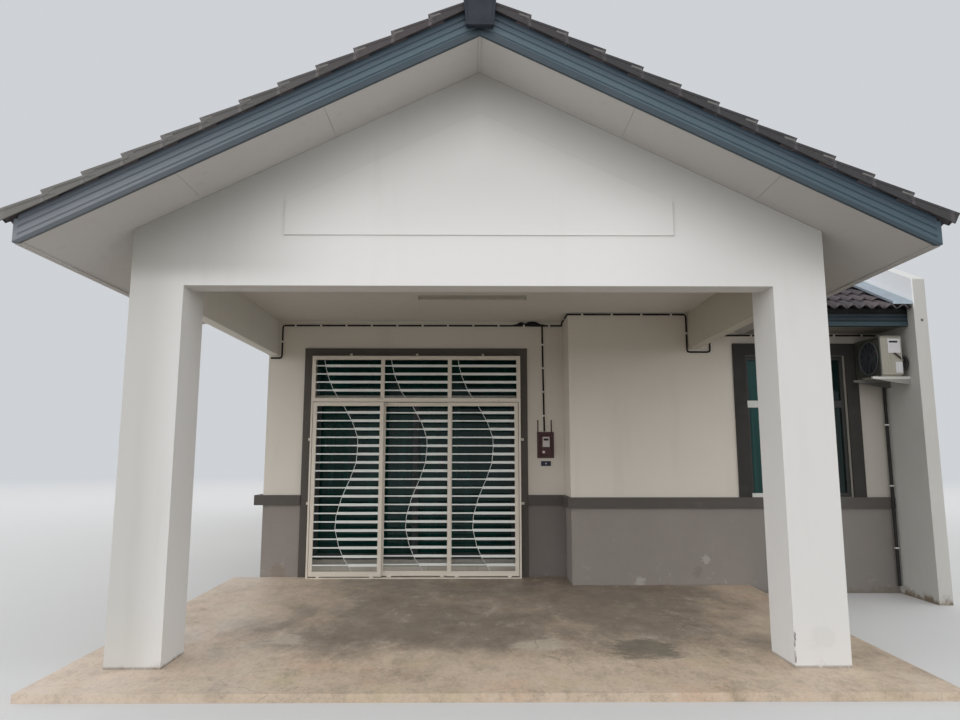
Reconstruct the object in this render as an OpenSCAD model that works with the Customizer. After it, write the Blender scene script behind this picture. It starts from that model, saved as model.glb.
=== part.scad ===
// Single-storey house at the end of a row, with a gabled car porch in front.
// Millimetres. X runs to the right as seen from the street, Y runs back, Z runs up.
// The origin is on the ground, midway between the two porch columns, at their centres.

/* [Porch] */
// Clear width between the two porch columns
porch_clear_w = 4460; // [4200:10:4800]
// Side of each square porch column
column_w = 400; // [360:5:420]
// Height of the underside of the porch beams
beam_under_z = 2815; // [2700:5:2900]
// Thickness of the front beam
front_beam_t = 200; // [150:5:220]
// Thickness of the gable wall over the front beam
gable_wall_t = 150; // [100:5:180]
// Thickness of the two side beams
side_beam_t = 115; // [100:5:150]
// Half width of the raised panel on the gable wall
panel_half_w = 1490; // [1300:10:1600]
// Height of the lower edge of the raised panel
panel_under_z = 3210; // [3200:2:3240]
// Height of the short upright sides of the raised panel
panel_side_h = 265; // [200:5:290]
// How far the raised panel stands out of the gable wall
panel_proud = 12; // [6:1:20]
// Thickness of the porch floor at the front columns
porch_floor_h = 60; // [40:5:80]
// Rise of the porch floor for each unit of run towards the house
porch_floor_fall = 0.011; // [0.005:0.001:0.012]
// How far the porch floor runs past the columns on the left
porch_floor_left = 310; // [100:10:500]
// How far the porch floor runs past the columns on the right
porch_floor_right = 470; // [100:10:500]
// Length of the lamp under the porch ceiling
lamp_len = 1160; // [600:10:1400]
// Distance of the lamp behind the columns
lamp_y = 1990; // [1200:10:2200]
// Distance of the lamp's middle to the left of the porch's centre line
lamp_left = 60; // [0:10:200]

/* [Roof] */
// Rise of the tiles for each unit of run
roof_rise = 0.5; // [0.49:0.01:0.53]
// Height of the lower edge of all fascias
eave_z = 2990; // [2950:5:3020]
// Overhang of the porch roof at its sides, to the face of the fascia
side_over = 580; // [500:5:620]
// Overhang of the porch roof at the front, to the face of the barge board
front_over = 500; // [400:5:560]
// Overhang of the main roof at the front and back, to the face of the fascia
main_over = 555; // [500:5:600]
// Height of a fascia at its outer face
fascia_h = 157; // [130:1:180]
// Thickness of the fascias
fascia_t = 50; // [40:5:60]
// Thickness of the barge boards
barge_t = 25; // [20:1:35]
// Height of the barge boards at the top of the gable
barge_apex_h = 206; // [200:1:250]
// Thickness of the tiles with their battens, measured upright
deck_t = 85; // [70:5:100]
// Reach of the lowest tiles past the fascias
tile_eave_over = 115; // [60:5:130]
// How much higher the main tiles lie over their fascias than the porch tiles do
main_tile_up = 46; // [0:1:60]
// Reach of the tiles past the barge boards
tile_verge_over = 40; // [20:5:45]
// Width of the ridge caps
cap_w = 234; // [200:2:260]
// Height of the ridge caps over the ridge
cap_h = 75; // [50:5:90]
// Drop of the closed end of a ridge cap below the ridge
cap_drop = 256; // [200:2:280]
// Thickness of that closed end
cap_end_t = 48; // [30:1:60]
// Thickness of the soffit and ceiling boards
board_t = 15; // [9:1:20]
// Height of the level soffits above the lower edge of the fascias
soffit_up = 15; // [5:1:30]
// Width of the metal strip on the tiles beside the party wall
flashing_w = 220; // [150:10:260]
// Thickness of that metal strip
flashing_t = 30; // [15:5:40]

/* [House body] */
// Distance from the column centres back to the door wall
door_wall_y = 3407; // [3200:5:3600]
// Distance from the column centres back to the window wall
window_wall_y = 2865; // [2700:5:3000]
// Position of the corner between those two walls
return_x = 1085; // [1000:5:1200]
// Position of the inner face of the party wall
party_x = 4830; // [4700:10:5000]
// Distance from the column centres back to the main ridge
ridge_y = 9050; // [8800:50:9400]
// Thickness of the outer walls
wall_t = 150; // [140:5:160]
// Thickness of the party wall
party_t = 145; // [130:5:160]
// Reach of the party wall in front of the window wall
fin_len = 675; // [640:5:720]
// Height of the party wall above the tiles
parapet_h = 290; // [250:10:350]
// Height of the front and back walls inside the roof
wall_top_z = 3400; // [3360:5:3410]
// Height of the floor inside
floor_z = 210; // [190:5:230]
// Lower edge of the band round the house
band_z = 955; // [900:5:1000]
// Height of that band
band_h = 120; // [100:5:140]
// How far the band stands out of the front and back walls
band_out = 40; // [20:1:45]
// How far the band stands out of the left wall
band_out_left = 100; // [20:5:120]

/* [Front door] */
// Left edge of the doorway
door_x0 = -2080; // [-2120:5:-2040]
// Right edge of the doorway
door_x1 = 540; // [500:5:580]
// Top of the doorway
door_top_z = 2810; // [2780:5:2814]
// Width of the painted surround of the doorway
door_trim_w = 90; // [60:5:120]
// How far the surrounds stand out of the wall
trim_out = 20; // [10:1:30]
// How far the steel grille stands in front of the door wall, to its face
grille_out = 137; // [125:1:150]
// Gap between the left edge of the doorway and the grille
grille_side_left = 30; // [5:5:40]
// Gap between the right edge of the doorway and the grille
grille_side_right = 5; // [5:5:40]
// Gap between the top of the doorway and the grille
grille_side_top = 25; // [5:5:40]
// Lower edge of the head rail that the grille leaves run under
grille_head_z = 2215; // [2180:5:2250]
// Height of that head rail
grille_head_h = 46; // [30:1:50]
// Width of the grille posts and rails as seen from the front
grille_bar_w = 46; // [36:1:50]
// Width of the fixed end posts beside the leaves
grille_end_w = 22; // [18:1:30]
// Overlap of neighbouring grille leaves when they are closed
leaf_lap = 40; // [20:1:60]
// How far the middle leaf rests to the right of its true middle
leaf_shift = 14; // [0:1:18]
// Thickness of the grille leaves
grille_t = 22; // [18:1:24]
// Free gap between grille leaves on neighbouring tracks
grille_gap = 7; // [6:1:8]
// Height of the lower edge of the grille leaves above the porch floor
grille_foot_h = 25; // [20:1:35]
// Height of the bottom rail of a grille leaf
grille_foot_rail = 58; // [40:2:80]
// Height of the floor track that the grille leaves stand on
track_h = 10; // [8:1:14]
// Width of the lugs that hold the grille to the doorway
lug_w = 30; // [20:1:40]
// Thickness of those lugs
lug_t = 8; // [5:1:10]
// Reach of the lugs past the grille
lug_reach = 45; // [40:1:60]
// Height of the lower side lugs
lug_low_z = 960; // [800:10:1100]
// Height of the upper side lugs
lug_high_z = 1740; // [1600:10:1900]
// Free travel that each leaf keeps at its ends and under its head
leaf_clear = 6; // [5:1:10]
// Gap between a runner and its track
runner_gap = 0.3; // [0.2:0.1:0.5]
// Thickness of the sliding glass door leaves
slider_t = 24; // [20:1:26]
// Depth of the frame of the sliding glass door
slider_frame_d = 68; // [66:1:70]
// Width of the stiles and rails of the sliding glass door
slider_bar_w = 60; // [50:1:75]
// Height of the sill of the sliding glass door
slider_sill_h = 80; // [40:5:90]
// Width of the fixed jambs of the sliding glass door
slider_jamb = 40; // [30:1:50]
// Height of the transom over the sliding leaves
slider_transom_h = 50; // [40:2:80]
// Thickness of all glass
glass_t = 6; // [4:1:8]

/* [Windows] */
// Left edge of the front window
window_x0 = 3185; // [3150:5:3220]
// Width of the large windows
window_w = 1190; // [1100:10:1250]
// Top of the large windows
window_top_z = 2735; // [2700:5:2760]
// Width of the painted surround of the windows
window_trim_w = 145; // [100:5:160]
// Lower edge of the transom in the large windows
transom_z = 2120; // [2050:5:2200]
// Height of that transom
transom_h = 82; // [50:2:90]
// Width of the window frame members
window_bar_w = 45; // [35:1:50]
// Depth of the window frames
window_frame_d = 60; // [50:1:70]
// Position of the first window in the left wall
left_window_1_y = 4650; // [4400:50:5000]
// Position of the second window in the left wall
left_window_2_y = 8700; // [8400:50:9000]
// Position of the third window in the left wall
left_window_3_y = 12300; // [12000:50:12600]
// Width and height of the small window
small_window_w = 600; // [500:10:610]
// Height of the sill of the small window
small_sill_z = 2135; // [2100:5:2150]
// Distance of the small window from the party wall
small_window_in = 1500; // [1300:10:1800]
// Distance of the back window from the left wall
back_window_in = 2980; // [2600:10:3400]

/* [Fittings] */
// Width of the back door
back_door_w = 850; // [800:10:900]
// Distance of the back door from the left wall
back_door_in = 780; // [600:10:900]
// Height of the back door
back_door_h = 2100; // [2000:10:2150]
// Thickness of the back door
back_door_t = 45; // [35:1:50]
// Distance of the back door from the inner face of its wall
back_door_set = 50; // [30:5:60]
// Depth of the air conditioner, front to back
cooler_d = 255; // [240:5:270]
// Length of the air conditioner
cooler_len = 500; // [480:5:510]
// Height of the air conditioner
cooler_h = 456; // [440:2:480]
// Height of the top of its brackets
bracket_z = 2427; // [2400:1:2440]
// Distance of the front bracket behind the front of the air conditioner
arm_in_front = 30; // [20:5:60]
// Distance of the back bracket from the back of the air conditioner
arm_in_back = 60; // [50:5:90]
// Width of the meter board
meter_w = 208; // [180:2:240]
// Height of the meter board
meter_h = 322; // [300:2:340]
// Thickness of the surface cable
cable_t = 13; // [10:1:16]
// Height of the cable on the door wall
cable_z = 3195; // [3150:5:3230]
// How much higher the cable runs on the window wall
cable_step = 36; // [20:1:45]
// Height of the cable where it passes under a side beam
cable_under_z = 2777; // [2750:1:2790]
// Height of the cable outside the porch
cable_outside_z = 2978; // [2950:1:2980]
// Distance from the left side beam to the cable that drops beside it
cable_left_gap = 48; // [20:1:80]
// Distance from the right side beam to the cable that drops beside it
cable_right_gap = 16; // [10:1:40]
// Distance from the right column's outer face to the cable that rises beyond it
cable_rise_gap = 144; // [100:1:200]
// Distance from the outer left face to the start of the cable
cable_start_in = 26; // [20:1:40]
// Distance from the party wall to the end of the cable
cable_end_in = 65; // [40:1:90]
// Distance from the middle of the meter board to the cable that drops to it
cable_meter_off = 13; // [0:1:30]
// Position of the left edge of the meter board
meter_x = 747; // [700:1:800]
// Height of the lower edge of the meter board
meter_z = 1526; // [1400:1:1600]
// Thickness of the meter board
meter_board_t = 20; // [12:1:30]
// Margin of the board round the meter
meter_margin = 34; // [20:1:40]
// How far the meter stands out of its board
meter_out = 70; // [50:1:100]
// Gap between the air conditioner and the party wall
cooler_gap = 92; // [80:1:110]
// Distance of the air conditioner behind the end of the party wall
cooler_in = 130; // [100:5:140]
// Radius of the wrapped pipe of the air conditioner
pipe_r = 20; // [12:1:24]
// Height of the lower end of that pipe
pipe_foot_z = 90; // [60:5:200]
// Height of the pipe over the brackets where it leaves the air conditioner
pipe_up = 130; // [100:5:160]
// Distance of that outlet behind the front of the air conditioner
pipe_in = 90; // [60:5:140]
// Gap between the pipe and the party wall
pipe_gap = 18; // [10:1:24]
// Width of a bracket arm
arm_w = 30; // [20:1:40]
// Height of a bracket at the party wall
arm_h = 90; // [60:1:120]
// Height of a bracket at its tip
arm_tip_h = 22; // [14:1:30]
// Reach of the brackets past the air conditioner
arm_reach = 75; // [40:1:90]
// Width of the lamp under the porch ceiling
lamp_w = 60; // [40:1:80]
// Height of that lamp
lamp_h = 45; // [30:1:60]

/* [Hidden] */
column_out = porch_clear_w / 2 + column_w;
column_in = porch_clear_w / 2;
porch_front = -column_w / 2;
left_x = -column_out;
fascia_x = column_out + side_over;
soffit_x = fascia_x - fascia_t;
barge_y = porch_front - front_over;
fascia_y = window_wall_y - main_over;
tile_z = eave_z + fascia_h + deck_t;
porch_ridge_z = tile_z + roof_rise * fascia_x;
gable_apex_z = porch_ridge_z - deck_t - barge_apex_h;
soffit_rise = (gable_apex_z - eave_z) / soffit_x;
wall_head_z = floor(gable_apex_z - soffit_rise * column_out);
main_tile_z = tile_z + main_tile_up;
main_eave_y = fascia_y - tile_eave_over;
ridge_z = main_tile_z + roof_rise * (ridge_y - fascia_y);
back_wall_y = 2 * ridge_y - fascia_y - main_over;
back_fascia_y = 2 * ridge_y - fascia_y;
valley_y = fascia_y + fascia_x - main_tile_up / roof_rise;
reach_y = barge_y - tile_verge_over;
fin_y = window_wall_y - fin_len;
inner_left = left_x + wall_t;
window_in_y = window_wall_y + wall_t;
door_in_y = door_wall_y + wall_t;
back_in_y = back_wall_y - wall_t;
band_top = band_z + band_h;
window_x1 = window_x0 + window_w;
sill_y = door_in_y - slider_frame_d - 2;
grille_y = door_wall_y - grille_out;
grille_pitch = grille_t + grille_gap;
grille_back = grille_y + 3 * grille_t + 2 * grille_gap;
grille_x0 = door_x0 + grille_side_left;
grille_x1 = door_x1 - grille_side_right;
grille_top = door_top_z - grille_side_top;
leaf_first = grille_x0 + grille_end_w + leaf_clear;
leaf_w = (grille_x1 - grille_end_w - leaf_clear - leaf_first + 2 * leaf_lap) / 3;
leaf_step = leaf_w - leaf_lap;
slider_head_z = grille_head_z + grille_head_h;
slider_mid = (door_x0 + door_x1) / 2;
small_window_x = party_x - small_window_in;
back_door_x = inner_left + back_door_in;
back_window_x = inner_left + back_window_in;
cooler_x = party_x - cooler_gap - cooler_d;
cooler_y = fin_y + cooler_in;
side_window_ys = [left_window_1_y, left_window_2_y, left_window_3_y];
seat_gap = 0.3;
lamp_x = -lamp_left;
big = 20000;

// A box from its two corners
module box(a, b) {
    translate(a) cube(b - a);
}

// A shape drawn in Y and Z and run along X
module along_x(x0, x1, points) {
    translate([x0, 0, 0]) rotate([90, 0, 90]) linear_extrude(x1 - x0) polygon(points);
}

// A shape drawn in X and Z and run along Y
module along_y(y0, y1, points) {
    translate([0, y1, 0]) rotate([90, 0, 0]) linear_extrude(y1 - y0) polygon(points);
}

// A shape drawn in plan and run up
module upright(z0, z1, points) {
    translate([0, 0, z0]) linear_extrude(z1 - z0) polygon(points);
}

// Heights of the tile tops and of the sloping soffits
function porch_tile(x) = porch_ridge_z - roof_rise * abs(x);
function porch_soffit_z(x) = gable_apex_z - soffit_rise * abs(x);
function from_eave(y) = min(y - fascia_y, back_fascia_y - y);
function main_tile(y) = main_tile_z + roof_rise * from_eave(y);
function main_soffit_z(y) = eave_z + roof_rise * (from_eave(y) - fascia_t);
function porch_floor_z(y) = porch_floor_h + porch_floor_fall * (y - porch_front);

// Plan of everything in front of the two valleys and the lower edge of the main tiles
function porch_plan() = [[-big, main_eave_y], [main_eave_y - valley_y, main_eave_y], [0, valley_y],
    [valley_y - main_eave_y, main_eave_y], [big, main_eave_y], [big, -big], [-big, -big]];

module porch_floor() {
    y1 = sill_y;
    x0 = -column_out - porch_floor_left;
    x1 = column_out + porch_floor_right;
    plan = [[x0, barge_y], [x1, barge_y], [x1, window_wall_y], [return_x, window_wall_y],
        [return_x, door_wall_y], [door_x1, door_wall_y], [door_x1, y1], [door_x0, y1],
        [door_x0, door_wall_y], [x0, door_wall_y]];
    color("#8c8273") difference() {
        intersection() {
            along_x(x0, x1, [[barge_y, 0], [y1, 0], [y1, porch_floor_z(y1)], [barge_y, porch_floor_z(barge_y)]]);
            upright(0, big / 10, plan);
        }
        for (x = [-column_out, column_in])
            box([x, -column_w / 2, -1], [x + column_w, column_w / 2, big / 10]);
    }
}

module floor_slab() {
    plan = [[inner_left, door_in_y], [door_x0, door_in_y], [door_x0, sill_y], [door_x1, sill_y],
        [door_x1, door_in_y], [return_x + wall_t, door_in_y], [return_x + wall_t, window_in_y],
        [party_x, window_in_y], [party_x, back_in_y], [inner_left, back_in_y]];
    color("#b9b4aa") upright(0, floor_z, plan);
}

module column(x) {
    box([x, -column_w / 2, 0], [x + column_w, column_w / 2, wall_head_z]);
}

module porch_column_left() {
    color("#dcdcd8") column(-column_out);
}

module porch_column_right() {
    color("#dcdcd8") column(column_in);
}

module porch_front_beam() {
    color("#dcdcd8")
        box([-column_in, porch_front, beam_under_z], [column_in, porch_front + front_beam_t, wall_head_z]);
}

module porch_gable_wall() {
    panel_top_z = panel_under_z + panel_side_h;
    apex_z = panel_top_z + soffit_rise * panel_half_w;
    color("#dcdcd8") {
        along_y(porch_front, porch_front + gable_wall_t,
            [[-column_out, wall_head_z], [column_out, wall_head_z], [0, gable_apex_z]]);
        along_y(porch_front - panel_proud, porch_front,
            [[-panel_half_w, panel_under_z], [panel_half_w, panel_under_z], [panel_half_w, panel_top_z],
            [0, apex_z], [-panel_half_w, panel_top_z]]);
    }
}

module porch_side_beams() {
    back = column_w / 2;
    mitre_y = fascia_y + fascia_t + soffit_x - column_out;
    color("#dcdcd8") {
        along_x(left_x, left_x + side_beam_t,
            [[back, beam_under_z], [door_wall_y, beam_under_z], [door_wall_y, main_soffit_z(door_wall_y)],
            [mitre_y, main_soffit_z(mitre_y)], [mitre_y, wall_head_z], [back, wall_head_z]]);
        box([column_out - side_beam_t, back, beam_under_z], [column_out, window_wall_y, wall_head_z]);
    }
}

module porch_ceiling() {
    x1 = column_out - side_beam_t;
    y0 = porch_front + gable_wall_t;
    color("#d2d2cc") upright(wall_head_z, wall_head_z + board_t,
        [[-x1, y0], [x1, y0], [x1, window_wall_y], [return_x, window_wall_y], [return_x, door_wall_y],
        [-x1, door_wall_y]]);
}

module porch_soffit() {
    y0 = barge_y + barge_t;
    mitre = fascia_y + fascia_t + soffit_x;
    color("#cfcfca") difference() {
        along_y(y0, mitre, [[-soffit_x, eave_z], [0, gable_apex_z], [soffit_x, eave_z],
            [soffit_x, eave_z + board_t], [0, gable_apex_z + board_t], [-soffit_x, eave_z + board_t]]);
        box([-column_out, porch_front, 0], [column_out, big, big]);
        box([column_out - 1, window_wall_y, 0], [big, big, big]);
        upright(0, big, [[-big, mitre - big], [0, mitre], [0, big], [-big, big]]);
    }
}

module porch_fascia() {
    top = porch_ridge_z - deck_t;
    color("#4f646f") union() {
        along_y(barge_y, barge_y + barge_t, [[-soffit_x, eave_z], [0, gable_apex_z], [soffit_x, eave_z],
            [soffit_x, top - roof_rise * soffit_x], [0, top], [-soffit_x, top - roof_rise * soffit_x]]);
        for (s = [-1, 1])
            along_y(barge_y, fascia_y + fascia_t, [[s * soffit_x, eave_z], [s * fascia_x, eave_z],
                [s * fascia_x, top - roof_rise * fascia_x], [s * soffit_x, top - roof_rise * soffit_x]]);
    }
}

module porch_roof() {
    x1 = fascia_x + tile_eave_over;
    color("#5a5357") intersection() {
        along_y(reach_y, valley_y, [[-x1, porch_tile(x1)], [0, porch_ridge_z], [x1, porch_tile(x1)],
            [x1, porch_tile(x1) - deck_t], [0, porch_ridge_z - deck_t], [-x1, porch_tile(x1) - deck_t]]);
        upright(0, big, porch_plan());
    }
}

// Cross-section of a ridge cap about a ridge at height z, centred on c
function cap_section(c, z) = [[c - cap_w / 2, z - roof_rise * cap_w / 2], [c, z],
    [c + cap_w / 2, z - roof_rise * cap_w / 2], [c + cap_w / 2, z + cap_h / 3], [c + cap_w / 4, z + cap_h],
    [c - cap_w / 4, z + cap_h], [c - cap_w / 2, z + cap_h / 3]];

module ridge_caps() {
    main_left = -fascia_x - tile_verge_over;
    color("#3b424c") {
        difference() {
            union() {
                along_y(reach_y, valley_y + cap_h * 3, cap_section(0, porch_ridge_z));
                along_y(reach_y - cap_end_t, reach_y, [[-cap_w / 2, porch_ridge_z - cap_drop],
                    [cap_w / 2, porch_ridge_z - cap_drop], [cap_w / 2, porch_ridge_z + cap_h / 3],
                    [cap_w / 4, porch_ridge_z + cap_h], [-cap_w / 4, porch_ridge_z + cap_h],
                    [-cap_w / 2, porch_ridge_z + cap_h / 3]]);
            }
            along_x(-cap_w, cap_w,
                [[fascia_y, main_tile_z], [ridge_y, ridge_z], [ridge_y, 0], [fascia_y, 0]]);
        }
        union() {
            along_x(main_left, party_x, cap_section(ridge_y, ridge_z));
            along_x(main_left - cap_end_t, main_left, [[ridge_y - cap_w / 2, ridge_z - cap_drop],
                [ridge_y + cap_w / 2, ridge_z - cap_drop], [ridge_y + cap_w / 2, ridge_z + cap_h / 3],
                [ridge_y + cap_w / 4, ridge_z + cap_h], [ridge_y - cap_w / 4, ridge_z + cap_h],
                [ridge_y - cap_w / 2, ridge_z + cap_h / 3]]);
        }
    }
}

module front_wall_left_of_door() {
    color("#dcdcd8") box([inner_left, door_wall_y, 0], [door_x0, door_in_y, wall_top_z]);
}

module front_wall_right_of_door() {
    color("#dcdcd8") box([door_x1, door_wall_y, 0], [return_x, door_in_y, wall_top_z]);
}

module front_wall_over_door() {
    color("#dcdcd8") box([door_x0, door_wall_y, door_top_z], [door_x1, door_in_y, wall_top_z]);
}

module front_wall_with_window() {
    color("#dcdcd8") difference() {
        upright(0, wall_top_z, [[return_x, window_wall_y], [party_x, window_wall_y], [party_x, window_in_y],
            [return_x + wall_t, window_in_y], [return_x + wall_t, door_in_y], [return_x, door_in_y]]);
        box([window_x0, window_wall_y - 1, band_top], [window_x1, window_in_y + 1, window_top_z]);
    }
}

module left_wall() {
    color("#dcdcd8") difference() {
        along_x(left_x, inner_left, [[door_wall_y, 0], [back_wall_y, 0],
            [back_wall_y, main_soffit_z(back_wall_y)], [ridge_y, main_soffit_z(ridge_y)],
            [door_wall_y, main_soffit_z(door_wall_y)]]);
        for (y = side_window_ys)
            box([left_x - 1, y, band_top], [inner_left + 1, y + window_w, window_top_z]);
    }
}

module back_wall() {
    color("#dcdcd8") difference() {
        box([inner_left, back_in_y, 0], [party_x, back_wall_y, wall_top_z]);
        box([back_door_x, back_in_y - 1, floor_z],
            [back_door_x + back_door_w, back_wall_y + 1, floor_z + back_door_h]);
        box([back_window_x, back_in_y - 1, band_top],
            [back_window_x + window_w, back_wall_y + 1, window_top_z]);
        box([small_window_x, back_in_y - 1, small_sill_z],
            [small_window_x + small_window_w, back_wall_y + 1, small_sill_z + small_window_w]);
    }
}

module party_wall() {
    low = main_tile(fin_y) + parapet_h;
    high = ridge_z + parapet_h;
    color("#dcdcd8") along_x(party_x, party_x + party_t, [[fin_y, 0], [2 * ridge_y - fin_y, 0],
        [2 * ridge_y - fin_y, low], [ridge_y, high], [fin_y, low]]);
}

module house_ceiling() {
    color("#d2d2cc") upright(wall_head_z, wall_head_z + board_t, [[inner_left, door_in_y],
        [return_x + wall_t, door_in_y], [return_x + wall_t, window_in_y], [party_x, window_in_y],
        [party_x, back_in_y], [inner_left, back_in_y]]);
}

module main_roof_front() {
    y0 = main_eave_y;
    color("#5a5357") difference() {
        along_x(-fascia_x - tile_verge_over, party_x, [[y0, main_tile(y0)], [ridge_y, ridge_z],
            [ridge_y, ridge_z - deck_t], [y0, main_tile(y0) - deck_t]]);
        upright(0, big, porch_plan());
    }
}

module main_roof_back() {
    y1 = back_fascia_y + tile_eave_over;
    color("#5a5357") along_x(-fascia_x - tile_verge_over, party_x, [[y1, main_tile(y1)], [ridge_y, ridge_z],
        [ridge_y, ridge_z - deck_t], [y1, main_tile(y1) - deck_t]]);
}

module main_fascia() {
    top = main_tile_z - deck_t;
    color("#4f646f") {
        along_x(fascia_x, party_x, [[fascia_y, eave_z], [fascia_y + fascia_t, eave_z],
            [fascia_y + fascia_t, top + roof_rise * fascia_t], [fascia_y, top]]);
        along_x(-fascia_x, party_x, [[back_fascia_y, eave_z], [back_fascia_y - fascia_t, eave_z],
            [back_fascia_y - fascia_t, top + roof_rise * fascia_t], [back_fascia_y, top]]);
    }
}

module main_soffit() {
    z0 = eave_z + soffit_up;
    mitre = fascia_y + fascia_t + soffit_x;
    verge_x = -fascia_x + barge_t;
    y0 = fascia_y + fascia_t;
    y1 = back_fascia_y - fascia_t;
    color("#cfcfca") {
        box([soffit_x, fascia_y + fascia_t, z0], [party_x, window_wall_y, z0 + board_t]);
        box([left_x, back_wall_y, z0], [party_x, y1, z0 + board_t]);
        difference() {
            along_x(verge_x, left_x, [[y0, main_soffit_z(y0)], [ridge_y, main_soffit_z(ridge_y)],
                [y1, main_soffit_z(y1)], [y1, main_soffit_z(y1) + board_t],
                [ridge_y, main_soffit_z(ridge_y) + board_t], [y0, main_soffit_z(y0) + board_t]]);
            upright(0, big, [[-big, mitre - big], [0, mitre], [0, -big], [-big, -big]]);
        }
    }
}

module left_barge_boards() {
    y0 = fascia_y + fascia_t;
    y1 = back_fascia_y - fascia_t;
    color("#4f646f") along_x(-fascia_x, -fascia_x + barge_t, [[y0, main_soffit_z(y0)],
        [ridge_y, main_soffit_z(ridge_y)], [y1, main_soffit_z(y1)], [y1, main_tile(y1) - deck_t],
        [ridge_y, ridge_z - deck_t], [y0, main_tile(y0) - deck_t]]);
}

module roof_flashing() {
    y0 = main_eave_y;
    y1 = ridge_y - cap_w / 2;
    color("#8496a3") for (side = [0, 1]) {
        a = side == 0 ? y0 : 2 * ridge_y - y1;
        b = side == 0 ? y1 : 2 * ridge_y - y0;
        along_x(party_x - flashing_w, party_x, [[a, main_tile(a)], [b, main_tile(b)],
            [b, main_tile(b) + flashing_t], [a, main_tile(a) + flashing_t]]);
    }
}

module dado_band() {
    front = door_wall_y - band_out;
    near = window_wall_y - band_out;
    far = back_wall_y + band_out;
    out = left_x - band_out_left;
    door_end = back_door_x + back_door_w + door_trim_w;
    color("#4a4744") {
        upright(band_z, band_top, [[door_x0 - door_trim_w, front], [door_x0 - door_trim_w, door_wall_y],
            [left_x, door_wall_y], [left_x, back_wall_y], [back_door_x - door_trim_w, back_wall_y],
            [back_door_x - door_trim_w, far], [out, far], [out, front]]);
        upright(band_z, band_top, [[door_x1 + door_trim_w, front], [return_x - band_out, front],
            [return_x - band_out, near], [party_x, near], [party_x, window_wall_y], [return_x, window_wall_y],
            [return_x, door_wall_y], [door_x1 + door_trim_w, door_wall_y]]);
        box([door_end, back_wall_y, band_z], [party_x, far, band_top]);
    }
}

// Top and two sides of a surround, drawn in the plane of the wall
function trim_points(a, b, foot, top, w) = [[a - w, foot], [a - w, top + w], [b + w, top + w], [b + w, foot],
    [b, foot], [b, top], [a, top], [a, foot]];

module door_surround() {
    foot = porch_floor_z(door_wall_y);
    back_top = floor_z + back_door_h;
    color("#56504c") {
        along_y(door_wall_y - trim_out, door_wall_y,
            trim_points(door_x0, door_x1, foot, door_top_z, door_trim_w));
        along_y(back_wall_y, back_wall_y + trim_out,
            trim_points(back_door_x, back_door_x + back_door_w, 0, back_top, door_trim_w));
    }
}

module window_surrounds() {
    small_top = small_sill_z + small_window_w;
    color("#56504c") {
        along_y(window_wall_y - trim_out, window_wall_y,
            trim_points(window_x0, window_x1, band_top, window_top_z, window_trim_w));
        for (y = side_window_ys)
            along_x(left_x - trim_out, left_x,
                trim_points(y, y + window_w, band_top, window_top_z, window_trim_w));
        along_y(back_wall_y, back_wall_y + trim_out, trim_points(back_window_x, back_window_x + window_w,
            band_top, window_top_z, window_trim_w));
        difference() {
            box([small_window_x - window_trim_w, back_wall_y, small_sill_z - window_trim_w],
                [small_window_x + small_window_w + window_trim_w, back_wall_y + trim_out,
                small_top + window_trim_w]);
            box([small_window_x, back_wall_y - 1, small_sill_z],
                [small_window_x + small_window_w, back_wall_y + trim_out + 1, small_top]);
        }
    }
}

// A large window frame in its own plane: w wide, h high, d deep, with a transom and a middle bar
module large_frame(w, h, d) {
    bar = window_bar_w;
    rail = transom_z - band_top;
    difference() {
        box([0, 0, 0], [w, d, h]);
        for (x = [bar, (w + bar) / 2])
            box([x, -1, bar], [x + (w - 3 * bar) / 2, d + 1, rail]);
        box([bar, -1, rail + transom_h], [w - bar, d + 1, h - bar]);
    }
}

// The panes of a large window, fitted in the middle of the frame's depth
module large_panes(w, h, d) {
    bar = window_bar_w;
    rail = transom_z - band_top;
    for (x = [bar, (w + bar) / 2])
        box([x, (d - glass_t) / 2, bar], [x + (w - 3 * bar) / 2, (d + glass_t) / 2, rail]);
    box([bar, (d - glass_t) / 2, rail + transom_h], [w - bar, (d + glass_t) / 2, h - bar]);
}

// Puts a large window at each of its places
module at_large_windows() {
    inset = (wall_t - window_frame_d) / 2;
    translate([window_x0, window_wall_y + inset, band_top]) children();
    translate([back_window_x, back_in_y + inset, band_top]) children();
    for (y = side_window_ys)
        translate([left_x + inset + window_frame_d, y, band_top]) rotate([0, 0, 90]) children();
}

module window_frames() {
    inset = (wall_t - window_frame_d) / 2;
    color("#d9dad6") {
        at_large_windows() large_frame(window_w, window_top_z - band_top, window_frame_d);
        translate([small_window_x, back_in_y + inset, small_sill_z]) difference() {
            box([0, 0, 0], [small_window_w, window_frame_d, small_window_w]);
            box([window_bar_w, -1, window_bar_w],
                [small_window_w - window_bar_w, window_frame_d + 1, small_window_w - window_bar_w]);
        }
    }
}

module window_glass() {
    inset = (wall_t - glass_t) / 2;
    color("#1f5a55") {
        at_large_windows() large_panes(window_w, window_top_z - band_top, window_frame_d);
        translate([small_window_x, back_in_y + inset, small_sill_z]) box([window_bar_w, 0, window_bar_w],
            [small_window_w - window_bar_w, glass_t, small_window_w - window_bar_w]);
    }
}

module sliding_door_frame() {
    y0 = door_in_y - slider_frame_d;
    y1 = door_in_y;
    pane = (y0 + y1) / 2;
    x0 = door_x0 + slider_jamb;
    x1 = door_x1 - slider_jamb;
    light_z0 = slider_head_z + slider_transom_h;
    light_z1 = door_top_z - slider_jamb;
    color("#c8cbc9") difference() {
        box([door_x0, y0, floor_z], [door_x1, y1, door_top_z]);
        box([x0, y0 - 1, floor_z + slider_sill_h], [x1, y1 + 1, slider_head_z]);
        box([x0, y0 - 1, light_z0], [x1, pane - glass_t / 2, light_z1]);
        box([x0, pane + glass_t / 2, light_z0], [x1, y1 + 1, light_z1]);
    }
}

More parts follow.
